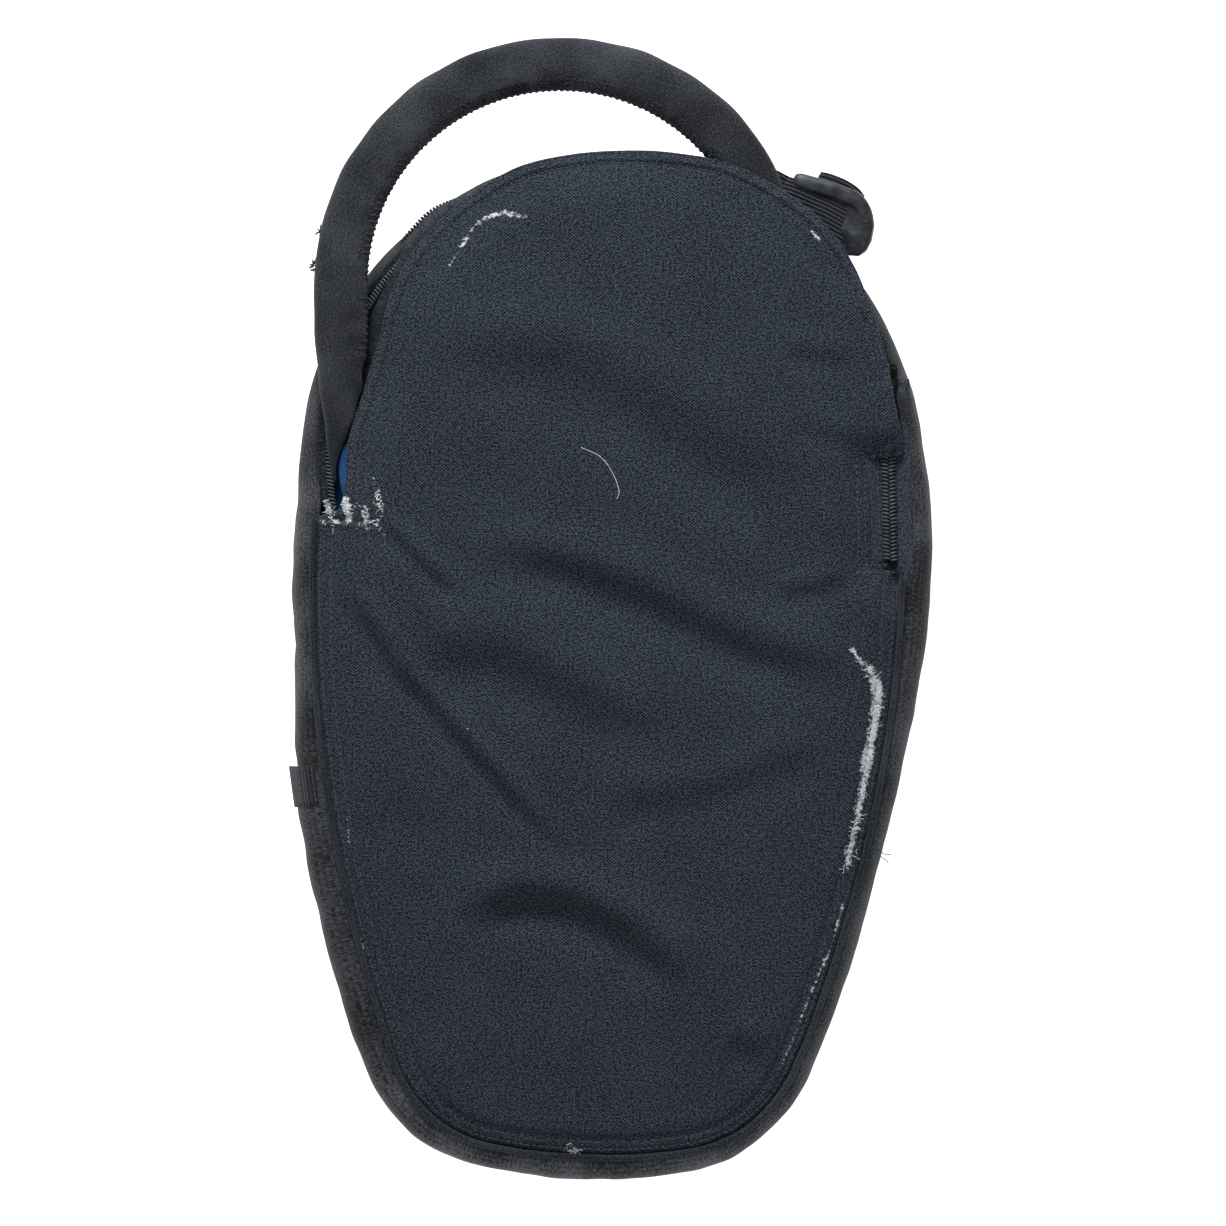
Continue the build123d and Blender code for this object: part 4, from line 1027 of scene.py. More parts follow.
flap_open = flap_curve[((flap_curve - FOLD_LEFT) @ FOLD_OUT) > 0.6]
rel_y = flap_open[:, 1] - MID
hang = smooth((-60 - flap_open[:, 0]) / 25) * smooth((rel_y - 84) / 24)
offsets = ((7.0, 0, 3.6), (3.0, 0, 3.6), (0.6, 0, 3.8), (0.2, -2.4, 4.4), (0.0, -7.0, 5.2))
z_tape = cover_height(offset_line(flap_open, 3.0))
over, below = [], []
for place, reach, drop in offsets:
    line = offset_line(flap_open, 0.0)
    way = np.gradient(line, axis=0)
    way /= np.linalg.norm(way, axis=1)[:, None]
    out = np.column_stack([-way[:, 1], way[:, 0]]) * (place + reach * hang)[:, None]
    z = z_tape - drop + reach * 0.95 * hang
    over.append(np.column_stack([line + out, z]))
    below.append(np.column_stack([line + out, z - 0.55]))
rows = np.stack(over + below[::-1], 1)
v, f, uv = sweep(rows[:, ::-1])
# The flap's zip tape takes the darkened tape colour, painted shade.
across_fold(make("flap_zip_cloth", v, f, SHADED_MOUTH_TAPE, None, "zip_tape", "flap_zip_tape", uv=uv))
run_tape = np.concatenate([[0], np.cumsum(np.linalg.norm(np.diff(over[-1], axis=0), axis=1))])
teeth_path = resample(over[-1], 1.75)
bits = Bits()
way = np.gradient(teeth_path[:, :2], axis=0)
way /= np.linalg.norm(way, axis=1)[:, None]
back = 5.2 - 3.6 * np.interp(np.linspace(0, run_tape[-1], len(teeth_path)), run_tape, hang)
for (px, py, pz), (wx, wy), b in zip(teeth_path, way, back):
    tooth(bits, np.array([px - wy * b, py + wx * b, pz - 0.9]), np.array([wx, wy, 0]),
          np.array([wy * 0.95, -wx * 0.95, -0.1]), np.array([0, 0, 0.75]), 1.75)
# The flap's teeth take the darkened coil colour, painted shade.
across_fold(bits.make("flap_zip_teeth", SHADED_FLAP_COIL, None, "zip_coil"))

bits = Bits()
chain_length = np.linalg.norm(CHAIN_END - CHAIN_TOP)
pitch = 1.75
for side in (-1, 1):
    for k in np.arange(0.6, chain_length - 3.0, pitch):
        place = CHAIN_TOP + CHAIN * (k + (pitch / 2 if side > 0 else 0)) + CHAIN_ACROSS * side * 3.5
        tooth(bits, np.array([*place, CHAIN_Z + 0.2]), np.array([*CHAIN, 0]),
              np.array([*(-CHAIN_ACROSS * side), 0]),
              np.array([0, 0, 0.8]), pitch)
bits.make("pocket_chain_teeth", COIL, "back_shell", "zip_coil", "pocket_zip_chain")
bits = Bits()
for side in (-1, 1):
    rows = []
    for k in np.arange(-6.0, chain_length + 7.5, 2.5):
        line = []
        for off, z in ((1.7, 0.0), (3.6, 0.1), (5.3, 0.8), (7.4, 2.6), (10.4, 4.2), (10.6, 3.4),
                       (7.7, 1.9), (5.6, 0.2), (3.7, -0.6), (1.7, -0.6)):
            q = CHAIN_TOP + CHAIN * k + CHAIN_ACROSS * side * off
            line.append((*q, CHAIN_Z - 0.7 + z + 0.1 * waves(k, off * 0, 20, 71)))
        rows.append(line)
    rows = np.array(rows)
    v, f, uv = sweep(rows if side < 0 else rows[:, ::-1])
    bits.add(v, f, uv)
bits.make("pocket_chain_cloth", TAPE, "back_shell", "zip_tape", "pocket_zip_chain_tape")
bits = Bits()
for side in (-1, 1):
    line = [(*(CHAIN_TOP + CHAIN * k + CHAIN_ACROSS * side * 4.7),
             CHAIN_Z + 0.15) for k in (0.0, chain_length)]
    stitches(bits, resample(line, 2.5), 2.6, 2.0, 0.5)
bits.make("pocket_chain_stitches", THREAD, "back_shell", "zip_tape")

# ------------------------------------------------------------------ bartack, tab, fibres


def rounded(bits, centre, along, size, z_low, z_high, soft=0.8, rings=3, per=4):
    """A block with rounded edges: size is length and width in the plane."""
    along = np.array(along, float)
    along /= np.linalg.norm(along)
    across = np.array([-along[1], along[0]])
    length, width = size
    corners = []
    for cx, cy, start in ((1, 1, 0), (-1, 1, 90), (-1, -1, 180), (1, -1, 270)):
        for k in range(per + 1):
            t = radians(start + 90 * k / per)
            corners.append((cx, cy, cos(t), sin(t)))
    corners = np.array(corners)
    rows = []
    levels = [(0, soft)] + [(soft * (1 - cos(t)), soft * (1 - sin(t)))
                            for t in np.linspace(0, pi / 2, rings + 1)[1:]]
    steps = [(z_low + dz, back) for dz, back in levels] + [(z_high - dz, back) for dz, back in levels[::-1]]
    for z, back in steps:
        radius = min(soft * 1.4, width / 2 - 0.01)
        u = corners[:, 0] * (length / 2 - radius) + corners[:, 2] * (radius - back)
        w = corners[:, 1] * (width / 2 - radius) + corners[:, 3] * (radius - back)
        xy = np.array(centre[:2]) + u[:, None] * along + w[:, None] * across
        rows.append(np.column_stack([xy, np.full(len(xy), z)]))
    v, f, _ = sweep(rows)
    uv = np.column_stack([(v[:, :2] - centre[:2]) @ along, (v[:, :2] - centre[:2]) @ across])
    bits.add(v, [tuple(reversed(q)) for q in f], uv)


def zigzag(bits, start, end, width, pitch, z_of, thick=0.45):
    """A bartack: close thread that goes to and fro across a line."""
    start, end = np.array(start, float), np.array(end, float)
    way = (end - start) / np.linalg.norm(end - start)
    side = np.array([-way[1], way[0]])
    steps = int(np.linalg.norm(end - start) / pitch)
    line = []
    for k in range(steps):
        q = start + way * k * pitch + side * (width / 2 if k % 2 else -width / 2)
        line.append((*q, z_of(q)))
    rows = tube_rows(resample(line, 0.9), thick / 2, 5)
    v, f, _ = sweep(rows)
    bits.add(v, f)


def cover_z(q):
    return cover_height(np.array([q]))[0] + 0.3


bits = Bits()
zigzag(bits, (-131.5, MID + 63.6), (-105.5, MID + 61.6), 3.0, 0.7, cover_z, 0.5)
bits.make("zip_end_bartack_thread", THREAD, "back_shell", "worn_thread", "zip_end_bartack")
bits = Bits()
rng = np.random.default_rng(14)
for (x0, y0), (x1, y1), count, wide, rise in (((-131, 73), (-128, 65), 34, 2.6, -1.2),
                                              ((-128.5, 65.5), (-125, 63.5), 16, 1.8, 0),
                                       ((-122.5, 73.5), (-119.6, 66), 44, 2.6, 0.2),
                                              ((-110, 64), (-106, 63), 10, 1.5, 0.3),
                                       ((-107.5, 78), (-105, 70), 16, 1.5, 0.2)):
    for t in np.linspace(0, 1, count):
        q = np.array([x0 + (x1 - x0) * t, y0 + (y1 - y0) * t + MID]) + rng.normal(0, 0.5, 2)
        turn = rng.normal(0.2, 0.35)
        way = np.array([cos(turn), sin(turn)]) * wide * rng.uniform(0.5, 1.1)
        z = cover_z(q) + rise
        path = spline([(*(q - way / 2), z - 0.4), (*q, z + 0.15), (*(q + way / 2), z - 0.4)], 3)
        v, f, _ = sweep(tube_rows(path, 0.3, 5))
        bits.add(v, f)
bits.make("zip_end_worn_stitches", WORN, "back_shell", "worn_thread")


def fibres(name, spots, radius, seed, body, mat=WORN, slot="worn_thread"):
    """Loose fibres: (place, how many, spread, length)."""
    rng = np.random.default_rng(seed)
    bits = Bits()
    for (x, y, z), count, spread, length in spots:
        for _ in range(count):
            start = np.array([x, y, z]) + rng.normal(0, 1, 3) * (spread, spread, spread * 0.15)
            heading, turn = rng.uniform(0, 2 * pi), rng.normal(0, 1.2)
            pts = [start]
            for k in range(7):
                heading += turn / 7 + rng.normal(0, 0.25)
                step = np.array([cos(heading), sin(heading), 0.25 * sin(k * pi / 6)]) * length / 7
                pts.append(pts[-1] + step)
            v, f, _ = sweep(tube_rows(spline(pts, 3), radius, 5))
            bits.add(v, f)
    return bits.make(name, mat, body, slot)


spots = [((-124, MID + 64.5, 58.6), 14, 2.8, 2.6), ((-107, MID + 64.0, 60.4), 12, 2.2, 2.6),
         ((-105.5, MID + 74.0, 60.9), 7, 1.4, 2.4), ((-129, MID + 68.0, 57.6), 8, 1.4, 2.4)]
for y in np.arange(-88, 8, 4.0):
    x = np.interp(y, [-90, -53, -25, -7, 9], [116.2, 122.4, 126.2, 128.4, 119])
    spots.append(((x, MID + y, cover_z((x, MID + y))), 6, 1.3, 2.4))
spots += [((-7, MID - 224.4, cover_z((-7, MID - 224.4))), 12, 1.6, 2.6)]
fibres("worn_fibres", spots, 0.14, 5, "back_shell")
hair = spline([(-13, 101.5), (-4, 97.5), (1.6, 90.7), (5.1, 82.5), (4.4, 78.0)]) + (0, MID)
bits = Bits()
v, f, _ = sweep(tube_rows(on_cover(hair, 0.25), 0.17, 6))
bits.add(v, f)
across_fold(bits.make("lint_hair", WORN, None, "worn_thread"))
black = [((130.5, MID - 81, 57), 7, 1.2, 7.0), ((138, MID - 20, 52), 3, 1.5, 5.0)]
fibres("loose_threads", black, 0.2, 6, "back_shell", THREAD, "shell_nylon")

low, high = box("side_tab")
tab_s = round_at(-1, (low[1] + high[1]) / 2 - MID)
s = np.linspace(tab_s - 9.6, tab_s + 9.6, 9)
tab = np.array([(10.4, 58.9), (5.8, 57.6), (3.0, 55.0), (0.8, 51.2), (-0.9, 47.0), (-2.1, 43.2),
                (-2.9, 41.0), (-2.6, 39.6),
                (-1.6, 39.4), (-0.9, 40.6), (-1.0, 43.0), (-0.1, 47.0), (1.7, 50.8), (3.8, 54.2),
                (6.2, 56.4), (10.4, 57.6)])
tab = np.repeat(tab[None], len(s), 0)
tab[..., 0] -= bulge(s).mean() + 0.9
v, f, uv = sweep(ring(s, tab)[:, ::-1])
make("side_tab_webbing", v, f, WEBBING, "back_shell", "webbing", "side_tab", uv=uv)
bits = Bits()
for k in (2.4, 9.4):
    x, y, nx, ny = at(s[[0, -1]] + np.array([1.2, -1.2]))
    place = k - bulge(s).mean() - 1.2
    z = np.interp(k, [0.8, 3.0, 5.8, 10.4], [51.2, 55.0, 57.7, 59.0])
    line = np.column_stack([x - nx * place, y - ny * place, [z + 0.2] * 2])
    stitches(bits, resample(line, 2.5), 2.6, 2.0, 0.6)
bits.make("side_tab_stitches", THREAD, "back_shell", "webbing")

# ------------------------------------------------------------------ strap
angles = np.radians(np.linspace(180, 19.5, 130))
loop = LOOP_CENTRE + LOOP_RADIUS * np.column_stack([np.cos(angles), np.sin(angles)])
leg = spline([(-128.4, MID + 82.0), (-128.5, MID + 93.0), (-128.0, MID + 102.0), (-126.7, MID + 112.0),
              (-126.2, MID + 124.0), (-126.2, MID + 136.0), (-126.7, MID + 152.0),
              (LEG_X, LOOP_CENTRE[1] - 4)], 6)
route = resample(np.vstack([leg, loop]), 2.0)
run = np.concatenate([[0], np.cumsum(np.hypot(*np.diff(route, axis=0).T))])
total = run[-1]
half_w = np.interp(run, [0, 7, 14, 18, 24, 32, 42, 49, 57, 70, 100, total - 60, total - 34, total - 12,
                         total],
                   [0.8, 1.1, 2.3, 3.2, 5.1, 7.5, 9.5, 10.4, 11.1, 12.0, 12.0, 12.0, 12.0, 11.2, 8.4])
half_t = np.interp(run, [0, 14, 24, 55, total - 60, total - 30, total], [0.7, 1.5, 2.8, 6.2, 6.6, 5.2, 3.0])
mid_z = np.interp(run, [0, 12, 30, 60, total - 70, total - 36, total],
                  [47.6, 50.4, 53.6, STRAP_Z, STRAP_Z, STRAP_Z - 1.0,
                                                                    50.6])
way = np.gradient(route, axis=0)
way /= np.linalg.norm(way, axis=1)[:, None]
side = np.column_stack([-way[:, 1], way[:, 0]])
SIDES = 44
ring_a = np.linspace(0, 2 * pi, SIDES, endpoint=False)
rows = []
for k, (p, o) in enumerate(zip(route, side)):
    c, q = np.cos(ring_a), np.sin(ring_a)
    u = np.sign(c) * np.abs(c) ** 0.82 * half_w[k]
    w = np.sign(q) * np.abs(q) ** 0.86 * half_t[k]
    bump = 0.25 * waves(run[k] + 0 * ring_a, np.sin(ring_a) * 14, 26, 81) + 0.25 * waves(
        run[k] + 0 * ring_a, ring_a * 3, 60, 82)
    pinch = 0.35 * waves(run[k] + 0 * ring_a, np.cos(ring_a) * 8, 8, 83) * (c < -0.2)
    u = u + (bump + pinch) * c
    w = w + (bump + pinch) * q
    rows.append(np.column_stack([p[0] + o[0] * u, p[1] + o[1] * u, mid_z[k] + w]))
v, f, uv = sweep(rows)
strap = make("strap_padded", v, f, STRAP, None, "strap_knit", "strap_sleeve", "strap_end_left",
             "strap_end_right",
             uv=uv)


def across_swing(obj):
    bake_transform(obj)


across_swing(strap)

# Overlocked seam: a raised band with loops over its edge, on the loop's inner side
rng = np.random.default_rng(9)
bits = Bits()
seam_pitch = 1.65
for n, d in enumerate(np.arange(58, total - 26, seam_pitch)):
    k = np.interp(d, run, np.arange(len(run)))
    i = int(k)
    p = route[i] + (route[min(i + 1, len(route) - 1)] - route[i]) * (k - i)
    inner = -side[i] if (LOOP_CENTRE - p) @ side[i] < 0 else side[i]
    w = way[i]
    hw, ht = half_w[i], half_t[i]
    reach = rng.uniform(-1.05, -0.9) + 0.42 * (n % 2)
    arc = []
    for t in np.linspace(0, 1, 7):
        ang = radians(42 - 94 * t)
        r_out = reach + 0.5 * sin(pi * t)
        u = np.abs(cos(ang)) ** 0.82 * hw + r_out
        z = mid_z[i] + np.sign(sin(ang)) * np.abs(sin(ang)) ** 0.86 * ht * 1.03 - 0.85
        q = p + inner * u + w * (t - 0.5) * 1.4
        arc.append((q[0], q[1], z))
    v, f, _ = sweep(tube_rows(spline(arc, 2), 1.08, 8, (w[0], w[1], 0)))
    bits.add(v, f)
    if n % 2:
        arc = [(*(p + inner * (hw * 0.76) + w * -1.5), mid_z[i] + ht * 0.66),
               (*(p + inner * (hw * 0.66)), mid_z[i] + ht * 0.80),
               (*(p + inner * (hw * 0.76) + w * 1.5), mid_z[i] + ht * 0.68)]
        v, f, _ = sweep(tube_rows(spline(arc, 3), 0.4, 6))
        bits.add(v, f)
across_swing(bits.make("strap_overlock", STRAP, None, "strap_knit"))
spots = [((-137.2, MID + 199.0, STRAP_Z + 1), 16, 0.7, 2.4), ((-139.6, MID + 183.0, STRAP_Z), 24, 0.9, 2.6)]
fuzz = fibres("strap_fuzz", spots, 0.3, 7, None, STRAP, "strap_knit")
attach(fuzz, "strap")

# ------------------------------------------------------------------ ladder lock and webbing
lock_low = box("ladder_lock")[0]
LOCK_ANGLE = radians(-28.0)
LOCK_CENTRE = np.array([93.6, MID + 205.4])
LOCK_WAY = np.array([cos(LOCK_ANGLE), sin(LOCK_ANGLE)])
LOCK_OUT = np.array([-LOCK_WAY[1], LOCK_WAY[0]])
LOCK_Z = lock_low[2]


def on_lock(along, across):
    return LOCK_CENTRE + LOCK_WAY * along + LOCK_OUT * across


bits = Bits()
inner_rail = [(-20.6, -14.6, 2.0), (-14, -15.2, 2.2), (-4, -15.2, 2.2), (6, -14.6, 2.2), (14, -10.0, 2.2)]
outer_rail = [(-21.0, 16.2, 3.0), (-18.4, 17.0, 4.4), (-10, 19.0, 5.2), (0, 21.2, 5.6), (8, 22.0, 5.8),
              (14, 19.4, 5.4),
              (18, 15.0, 5.0)]
for line, thick in ((inner_rail, 2.1), (outer_rail, 3.7)):
    path = spline([(*on_lock(u, w), LOCK_Z + z) for u, w, z in line], 6)
    size = np.interp(np.arange(len(path)), [0, 2, 6, len(path) - 1],
                     [thick * 0.6, thick * 0.85, thick, thick])
    v, f, _ = sweep(tube_rows(path, size, 16, squash=0.6))
    bits.add(v, f)
for place, height in ((-17.0, 3.2), (0.0, 3.0), (13.6, 3.4)):
    rounded(bits, on_lock(place, 2.0), LOCK_WAY, (4.6, 34.0), LOCK_Z + 0.2, LOCK_Z + height, 1.0)
# The lip: a broad flared plate, low at its inner edge and turned up at the outer one
lip = []
for t in np.linspace(0, 1, 27):
    w = -1.6 + 25.4 * t
    near = np.interp(w, [-1.6, 1.0, 6.0, 12.0, 18.0, 24.0], [15.4, 11.4, 6.4, 5.4, 2.6, 4.6])
    far = np.interp(w, [-1.6, 0.4, 4.0, 9.0, 16.0, 20.5, 23.8], [18.6, 22.8, 24.6, 24.4, 22.0, 18.6, 12.4])
    end = 1 - 0.8 * max(0, abs(2 * t - 1) - 0.82) / 0.18
    u = near + (far - near) * np.array([0.0, 0.05, 0.22, 0.5, 0.78, 0.94, 1.0, 0.96, 0.8, 0.5, 0.2])
    z = 4.0 + (np.array([1.6, 3.6, 5.4, 6.4, 7.0, 6.4, 4.6, 2.6, 1.8, 1.4, 1.2]) - 4.0) * end
    z *= 0.45 + 0.55 * smooth((w + 1.6) / 9)
    lip.append([(*on_lock(a, w), LOCK_Z + b) for a, b in zip(u, z)])
v, f, _ = sweep(lip)
bits.add(v, [tuple(reversed(q)) for q in f])
bits.make("ladder_lock_moulded", LOCK, "ladder_lock", "lock_plastic", "ladder_lock")


def strip(points, across, width, thick, ribs=1.8, depth=0.34):
    """Webbing along points (x, y, z), ribbed along its length."""
    path = resample(points, 1.2)
    d = np.concatenate([[0], np.cumsum(np.linalg.norm(np.diff(path, axis=0), axis=1))])
    way3 = np.gradient(path, axis=0)
    way3 /= np.linalg.norm(way3, axis=1)[:, None]
    side3 = np.array([across[0], across[1], 0.0])
    up3 = np.cross(way3, side3)
    up3 *= np.sign(up3[:, 2:3] + 1e-6)
    t = np.linspace(-1, 1, int(width / ribs) * 4 + 1)
    wave = depth * (0.5 - 0.5 * np.cos(2 * pi * t * width / 2 / ribs))
    rows = []
    for k in range(len(path)):
        over = [path[k] + side3 * a * width / 2 + up3[k] * (thick / 2 - w - 0.25 * abs(a) ** 6)
                for a, w in zip(t, wave)]
        below = [path[k] + side3 * a * width / 2 - up3[k] * (thick / 2 - 0.25 * abs(a) ** 6) for a in t[::-1]]
        rows.append(over + below)
    rows = np.array(rows)
    v, f, _ = sweep(rows)
    flat_uv = np.array([[(d[k], a * width / 2) for a in list(t) + list(t[::-1])] for k in range(len(path))])
    return v, f, flat_uv.reshape(-1, 2)


core_at = np.flatnonzero((run > 56) & (run < total - 14))[::2]
core = np.column_stack([route[core_at], mid_z[core_at]])
rows = []
for at_k, (x, y, z) in zip(core_at, core):
    half = min(9.2, half_w[at_k] - 2.4)
    rows.append([(x + side[at_k][0] * u, y + side[at_k][1] * u, z + w) for u, w in
                 ((-half, -0.5), (-half * 0.98, 0.6), (0, 0.9), (half * 0.98, 0.6), (half, -0.5), (0, -0.9))])
v, f, uv = sweep(rows)
make("strap_core_cloth", v, f, WEBBING, "strap", "webbing", "strap_core_webbing", uv=uv)

bits = Bits()
line = [(*on_lock(-24.0, 4), LOCK_Z + 1.0), (*on_lock(-19.5, 4.6), LOCK_Z + 4.2),
        (*on_lock(-16, 5.0), LOCK_Z + 4.6),
        (*on_lock(-8, 6.0), LOCK_Z + 4.4), (*on_lock(0, 6.8), LOCK_Z + 4.6), (*on_lock(8, 7.0), LOCK_Z + 4.3),
        (*on_lock(12.5, 7.0), LOCK_Z + 3.4)]
v, f, uv = strip(spline(line, 5), LOCK_OUT, 25.0, 1.5)
bits.add(v, f, uv)
line = [(*on_lock(-12, 22.4), LOCK_Z + 1.6), (*on_lock(-8, 23.4), LOCK_Z + 3.4),
        (*on_lock(-1, 24.4), LOCK_Z + 4.2),
        (*on_lock(6, 24.2), LOCK_Z + 3.8), (*on_lock(11.0, 22.6), LOCK_Z + 2.4)]
v, f, uv = strip(spline(line, 5), LOCK_OUT, 7.0, 1.6)
bits.add(v, f, uv)
bits.make("lock_webbing_ribbed", WEBBING, "ladder_lock", "webbing", "lock_webbing")
bits = Bits()
anchor = [(*on_lock(-40, 4.0), 47.7), (*on_lock(-20, 4.6), 47.8), (*on_lock(0, 5), 47.7),
          (*on_lock(15.6, 5), 47.7)]
v, f, uv = strip(spline(anchor, 4), LOCK_OUT, 25.0, 1.3)
bits.add(v, f, uv)
bits.make("strap_anchor_ribbed", WEBBING, "back_shell", "webbing", "strap_anchor_webbing")

# ------------------------------------------------------------------ sliders and pulls


def loft(bits, centre, along, stations, z_low, z_high, soft):
    """A plate whose half width changes along it."""
    along = np.array(along, float)
    across = np.array([-along[1], along[0]])
    line = [(u, w) for u, w in stations] + [(u, -w) for u, w in reversed(stations)]
    line = np.array(line)
    rows = []
    middle = line.mean(0)
    for z, shrink in ((z_low, soft), (z_low + soft * 0.6, 0), (z_high - soft * 0.6, 0), (z_high, soft)):
        size = np.abs(line - middle).max(0)
        q = middle + (line - middle) * (1 - shrink / size)
        xy = np.array(centre) + q[:, :1] * along + q[:, 1:] * across
        rows.append(np.column_stack([xy, np.full(len(xy), z)]))
    v, f, _ = sweep(rows)
    bits.add(v, f)


slider_at = CHAIN_TOP + CHAIN * -7.1
bits = Bits()
stations = [(-6.4, 2.6), (-5.6, 4.6), (-3.6, 5.3), (0.0, 5.0), (3.0, 4.4), (6.2, 4.2), (6.5, 3.6)]
z0 = CHAIN_Z - 1.3
loft(bits, slider_at, CHAIN, stations, z0 - 1.7, z0 - 0.4, 0.35)
loft(bits, slider_at, CHAIN, stations, z0 + 3.0, z0 + 4.4, 0.45)
rounded(bits, slider_at + CHAIN * -4.6, CHAIN, (3.0, 1.6), z0 - 0.8, z0 + 3.4, 0.3)
bridge = [(-7.2, 3.9), (-7.0, 5.8), (-5.8, 7.2), (-3.0, 7.7), (0.0, 7.3), (1.6, 5.8), (2.0, 3.9)]
path = spline([(*(slider_at + CHAIN * (u + 1.6)), z0 + z) for u, z in bridge], 4)
v, f, _ = sweep(tube_rows(path, 0.62, 8, (*CHAIN_ACROSS, 0), 1.8))
bits.add(v, f)
bits.make("pocket_slider_cast", METAL, "pocket_slider", "zip_metal", "pocket_zip_slider")


def pull_tab(bits, plane_point, along, across, up, length, width, thick):
    """A stamped pull: a loop end, a waist and a rounded grip, thinned a little at its edge."""
    u = np.array([0.0, 0.6, 1.8, 3.4, 5.2, 6.6, 9.0, 13.0, 17.0, 19.6, 21.0, 21.6]) * length / 21.6
    w = np.array([1.0, 2.0, 2.6, 2.5, 1.7, 1.5, 1.9, 2.4, 2.6, 2.5, 1.7, 0.6]) * width / 5.2
    hole_u = np.array([1.2, 1.5, 1.9, 3.0, 3.8, 4.2]) * length / 21.6
    outer = np.vstack([np.column_stack([u, w]), np.column_stack([u[::-1], -w[::-1]])])
    inner_w = np.array([0.3, 1.2, 1.5, 1.4, 0.9, 0.3]) * width / 5.2
    inner = np.vstack([np.column_stack([hole_u, inner_w]), np.column_stack([hole_u[::-1], -inner_w[::-1]])])
    outer, inner = resample(outer, 0.8, True), resample(inner, 0.8, True)
    n, m = len(outer), len(inner)
    pts = [Vector(q) for q in outer] + [Vector(q) for q in inner]
    rings = [(i, (i + 1) % n) for i in range(n)] + [(n + i, n + (i + 1) % m) for i in range(m)]
    out = delaunay_2d_cdt(pts, rings, [], 0, 1e-5)
    xy = np.array([(q.x, q.y) for q in out[0]])
    tri = [t for t in out[2] if inside(xy[list(t)].mean(0)[None],
                                       outer)[0] and not inside(xy[list(t)].mean(0)[None], inner)[0]]
    gap_o, _, _ = near_line(xy, np.vstack([outer, outer[:1]]))
    h = thick / 2 - 0.15 * np.exp(-gap_o / 0.3)
    v, f = thick_sheet(xy, tri, h, -h)
    base = np.array(plane_point) + v[:, :1] * along + v[:, 1:2] * across + v[:, 2:] * up
    turned = np.dot(np.cross(along, across), up) < 0
    bits.add(base, [tuple(reversed(q)) for q in f] if turned else f)


low, high = box("pocket_zip_pull")
bits = Bits()
pull_from = slider_at + CHAIN * -2.0
lie = radians(20.0)
pull_way = -CHAIN * cos(lie) - CHAIN_ACROSS * sin(lie)
pull_tab(bits, np.array([*pull_from, (low[2] + high[2]) / 2 - 0.5]), np.array([*pull_way, 0]),
         np.array([-pull_way[1], pull_way[0], 0]), np.array([0, 0, 1.0]), 21.0, 5.0, 0.7)
bits.make("pocket_pull_stamped", METAL, "pocket_pull", "zip_metal", "pocket_zip_pull")

TOP_RADIUS = ARCS[-1][0]
arc_centre = np.array([0, TOP_Y - TOP_RADIUS])
for side_of, word in ((-1, "left"), (1, "right")):
    t = radians(90 - side_of * 3.4)
    out_way = np.array([cos(t), sin(t)])
    zip_way = np.array([sin(t), -cos(t)]) * side_of
    bits = Bits()
    for radius, thick in ((TOP_RADIUS - 0.9, 1.2), (TOP_RADIUS - 6.4, 1.2)):
        rows = []
        for u, w in ((-6.5, 3.4), (-5.8, 4.4), (-3.5, 4.75), (0, 4.6), (3.2, 4.3), (5.8, 4.1), (6.5, 3.4)):
            base = arc_centre + out_way * (np.sqrt(radius ** 2 - u ** 2)) + zip_way * u
            rows.append([(*(base + out_way * o), split_z + z) for o, z in
                         ((0.6, w - 0.4), (0.2, w), (-0.6, w - 0.1), (-0.6, -w + 0.1), (0.2, -w),
                          (0.6, -w + 0.4))])
        rows = np.array(rows)
        v, f, _ = sweep(rows if side_of > 0 else rows[:, ::-1])
        bits.add(v, f)
    rounded(bits, arc_centre + out_way * (TOP_RADIUS - 3.9) + zip_way * 4.6, zip_way, (2.4, 5.0),
            split_z - 0.24,
            split_z + 0.24, 0.1)
    bridge = [(-3.1, -1.0), (-3.0, 0.9), (-1.8, 2.1), (0.4, 2.3), (2.6, 1.8), (3.3, 0.6), (3.4, -1.0)]
    path = spline([(*(arc_centre + out_way * (TOP_RADIUS + o) + zip_way * u), split_z) for u, o in bridge], 4)
    v, f, _ = sweep(tube_rows(path, 0.55, 8, (0, 0, 1.0), 2.0))
    bits.add(v, f)
    bits.make(f"main_slider_cast_{word}", METAL, f"main_slider_{word}", "zip_metal",
              f"main_zip_slider_{word}")
    bits = Bits()
    start = arc_centre + out_way * (TOP_RADIUS + 0.35) + zip_way * -0.8
    pull_tab(bits, np.array([*start, split_z]), np.array([*zip_way, 0]), np.array([0, 0, 1.0]),
             np.array([*out_way, 0]), 22.0, 5.0, 0.9)
    bits.make(f"main_pull_stamped_{word}", METAL, f"main_pull_{word}", "zip_metal", f"main_zip_pull_{word}")

# ------------------------------------------------------------------ stick sleeves
low, high = box("stick_sleeve_panel")
floor_z, sleeve_top, sleeve_from, sleeve_to = low[2], high[2], low[1], high[1]
PITCH = 59.0


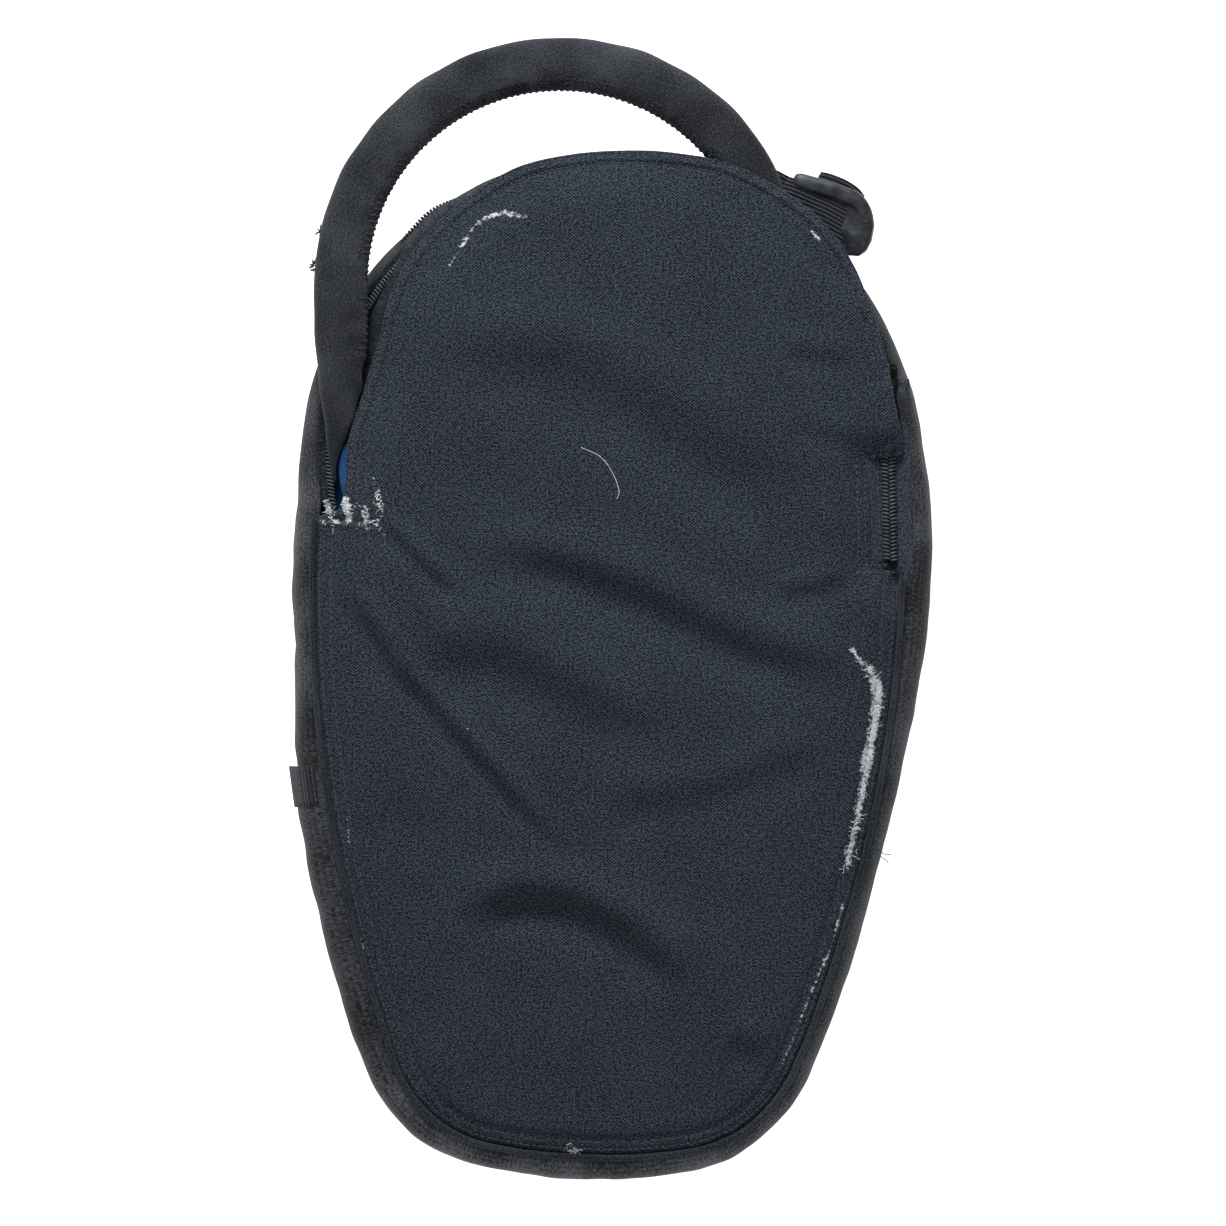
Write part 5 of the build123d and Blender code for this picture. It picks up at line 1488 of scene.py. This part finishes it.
def sleeve_line(height, width=1.0):
    """Section across the three sleeves: three soft humps, sewn down between."""
    pts = []
    for k in (-1, 0, 1):
        for u, z in ((-28.5, 0), (-27.0, 0.12), (-24.6, 0.55), (-21.0, 0.86), (-14.0, 0.98), (0, 1.0),
                     (14.0, 0.98),
                     (21.0, 0.86), (24.6, 0.55), (27.0, 0.12), (28.5, 0)):
            pts.append((k * PITCH + u * width, z * height))
    return spline(pts, 3)


fabric_t = 1.2
rows = []
for t in np.linspace(0, 1, 46):
    y = sleeve_from + t * (sleeve_to - sleeve_from)
    slack = (0.35 * sin(pi * t * 5) + 0.3 * sin(pi * t * 11)) * (1 - t) * t * 4
    height = sleeve_top - floor_z - 1.3 + slack * 0.6 - 1.2 * (1 - smooth(t * 6))
    line = sleeve_line(height)
    step_way = np.gradient(line, axis=0)
    step_way /= np.linalg.norm(step_way, axis=1)[:, None]
    out = np.column_stack([-step_way[:, 1], step_way[:, 0]])
    over = line + out * fabric_t
    rows.append([(x, y, floor_z + 0.05 + z) for x, z in over] + [(x, y, floor_z + 0.05 + z) for x,
                                                                 z in line[::-1]])
v, f, uv = sweep(np.array(rows)[:, ::-1])
sleeves = make("stick_sleeves", v, f, SLEEVE, "front_shell", "sleeve_nylon", "stick_sleeve_panel", uv=uv)
height = sleeve_top - floor_z - 1.3
mouth_line = sleeve_line(height)
path = np.column_stack([mouth_line[:, 0], np.full(len(mouth_line), sleeve_to - 1.0),
                        floor_z + 0.65 + mouth_line[:, 1]])
v, f, uv = sweep(tube_rows(path, 1.35, 10, (0, 1, 0), 2.1))
binding = make("sleeve_mouth_binding", v, f, BINDING, "front_shell", "binding_tape", "sleeve_binding", uv=uv)
bits = Bits()
for k in (-1.5, -0.5, 0.5, 1.5):
    line = [(k * PITCH, sleeve_from + 2, floor_z + 1.5), (k * PITCH, sleeve_to - 3, floor_z + 1.5)]
    stitches(bits, resample(line, 3), 3.2, 2.4, 0.5)
sewing = bits.make("sleeve_stitches", THREAD, "front_shell", "sleeve_nylon")

# ------------------------------------------------------------------ CAD nodes that stay
for node, mat in (("back_wall_board", BOARD), ("zip_bottom_stop", METAL)):
    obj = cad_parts[node]
    obj.data.materials.clear()
    obj.data.materials.append(mat)
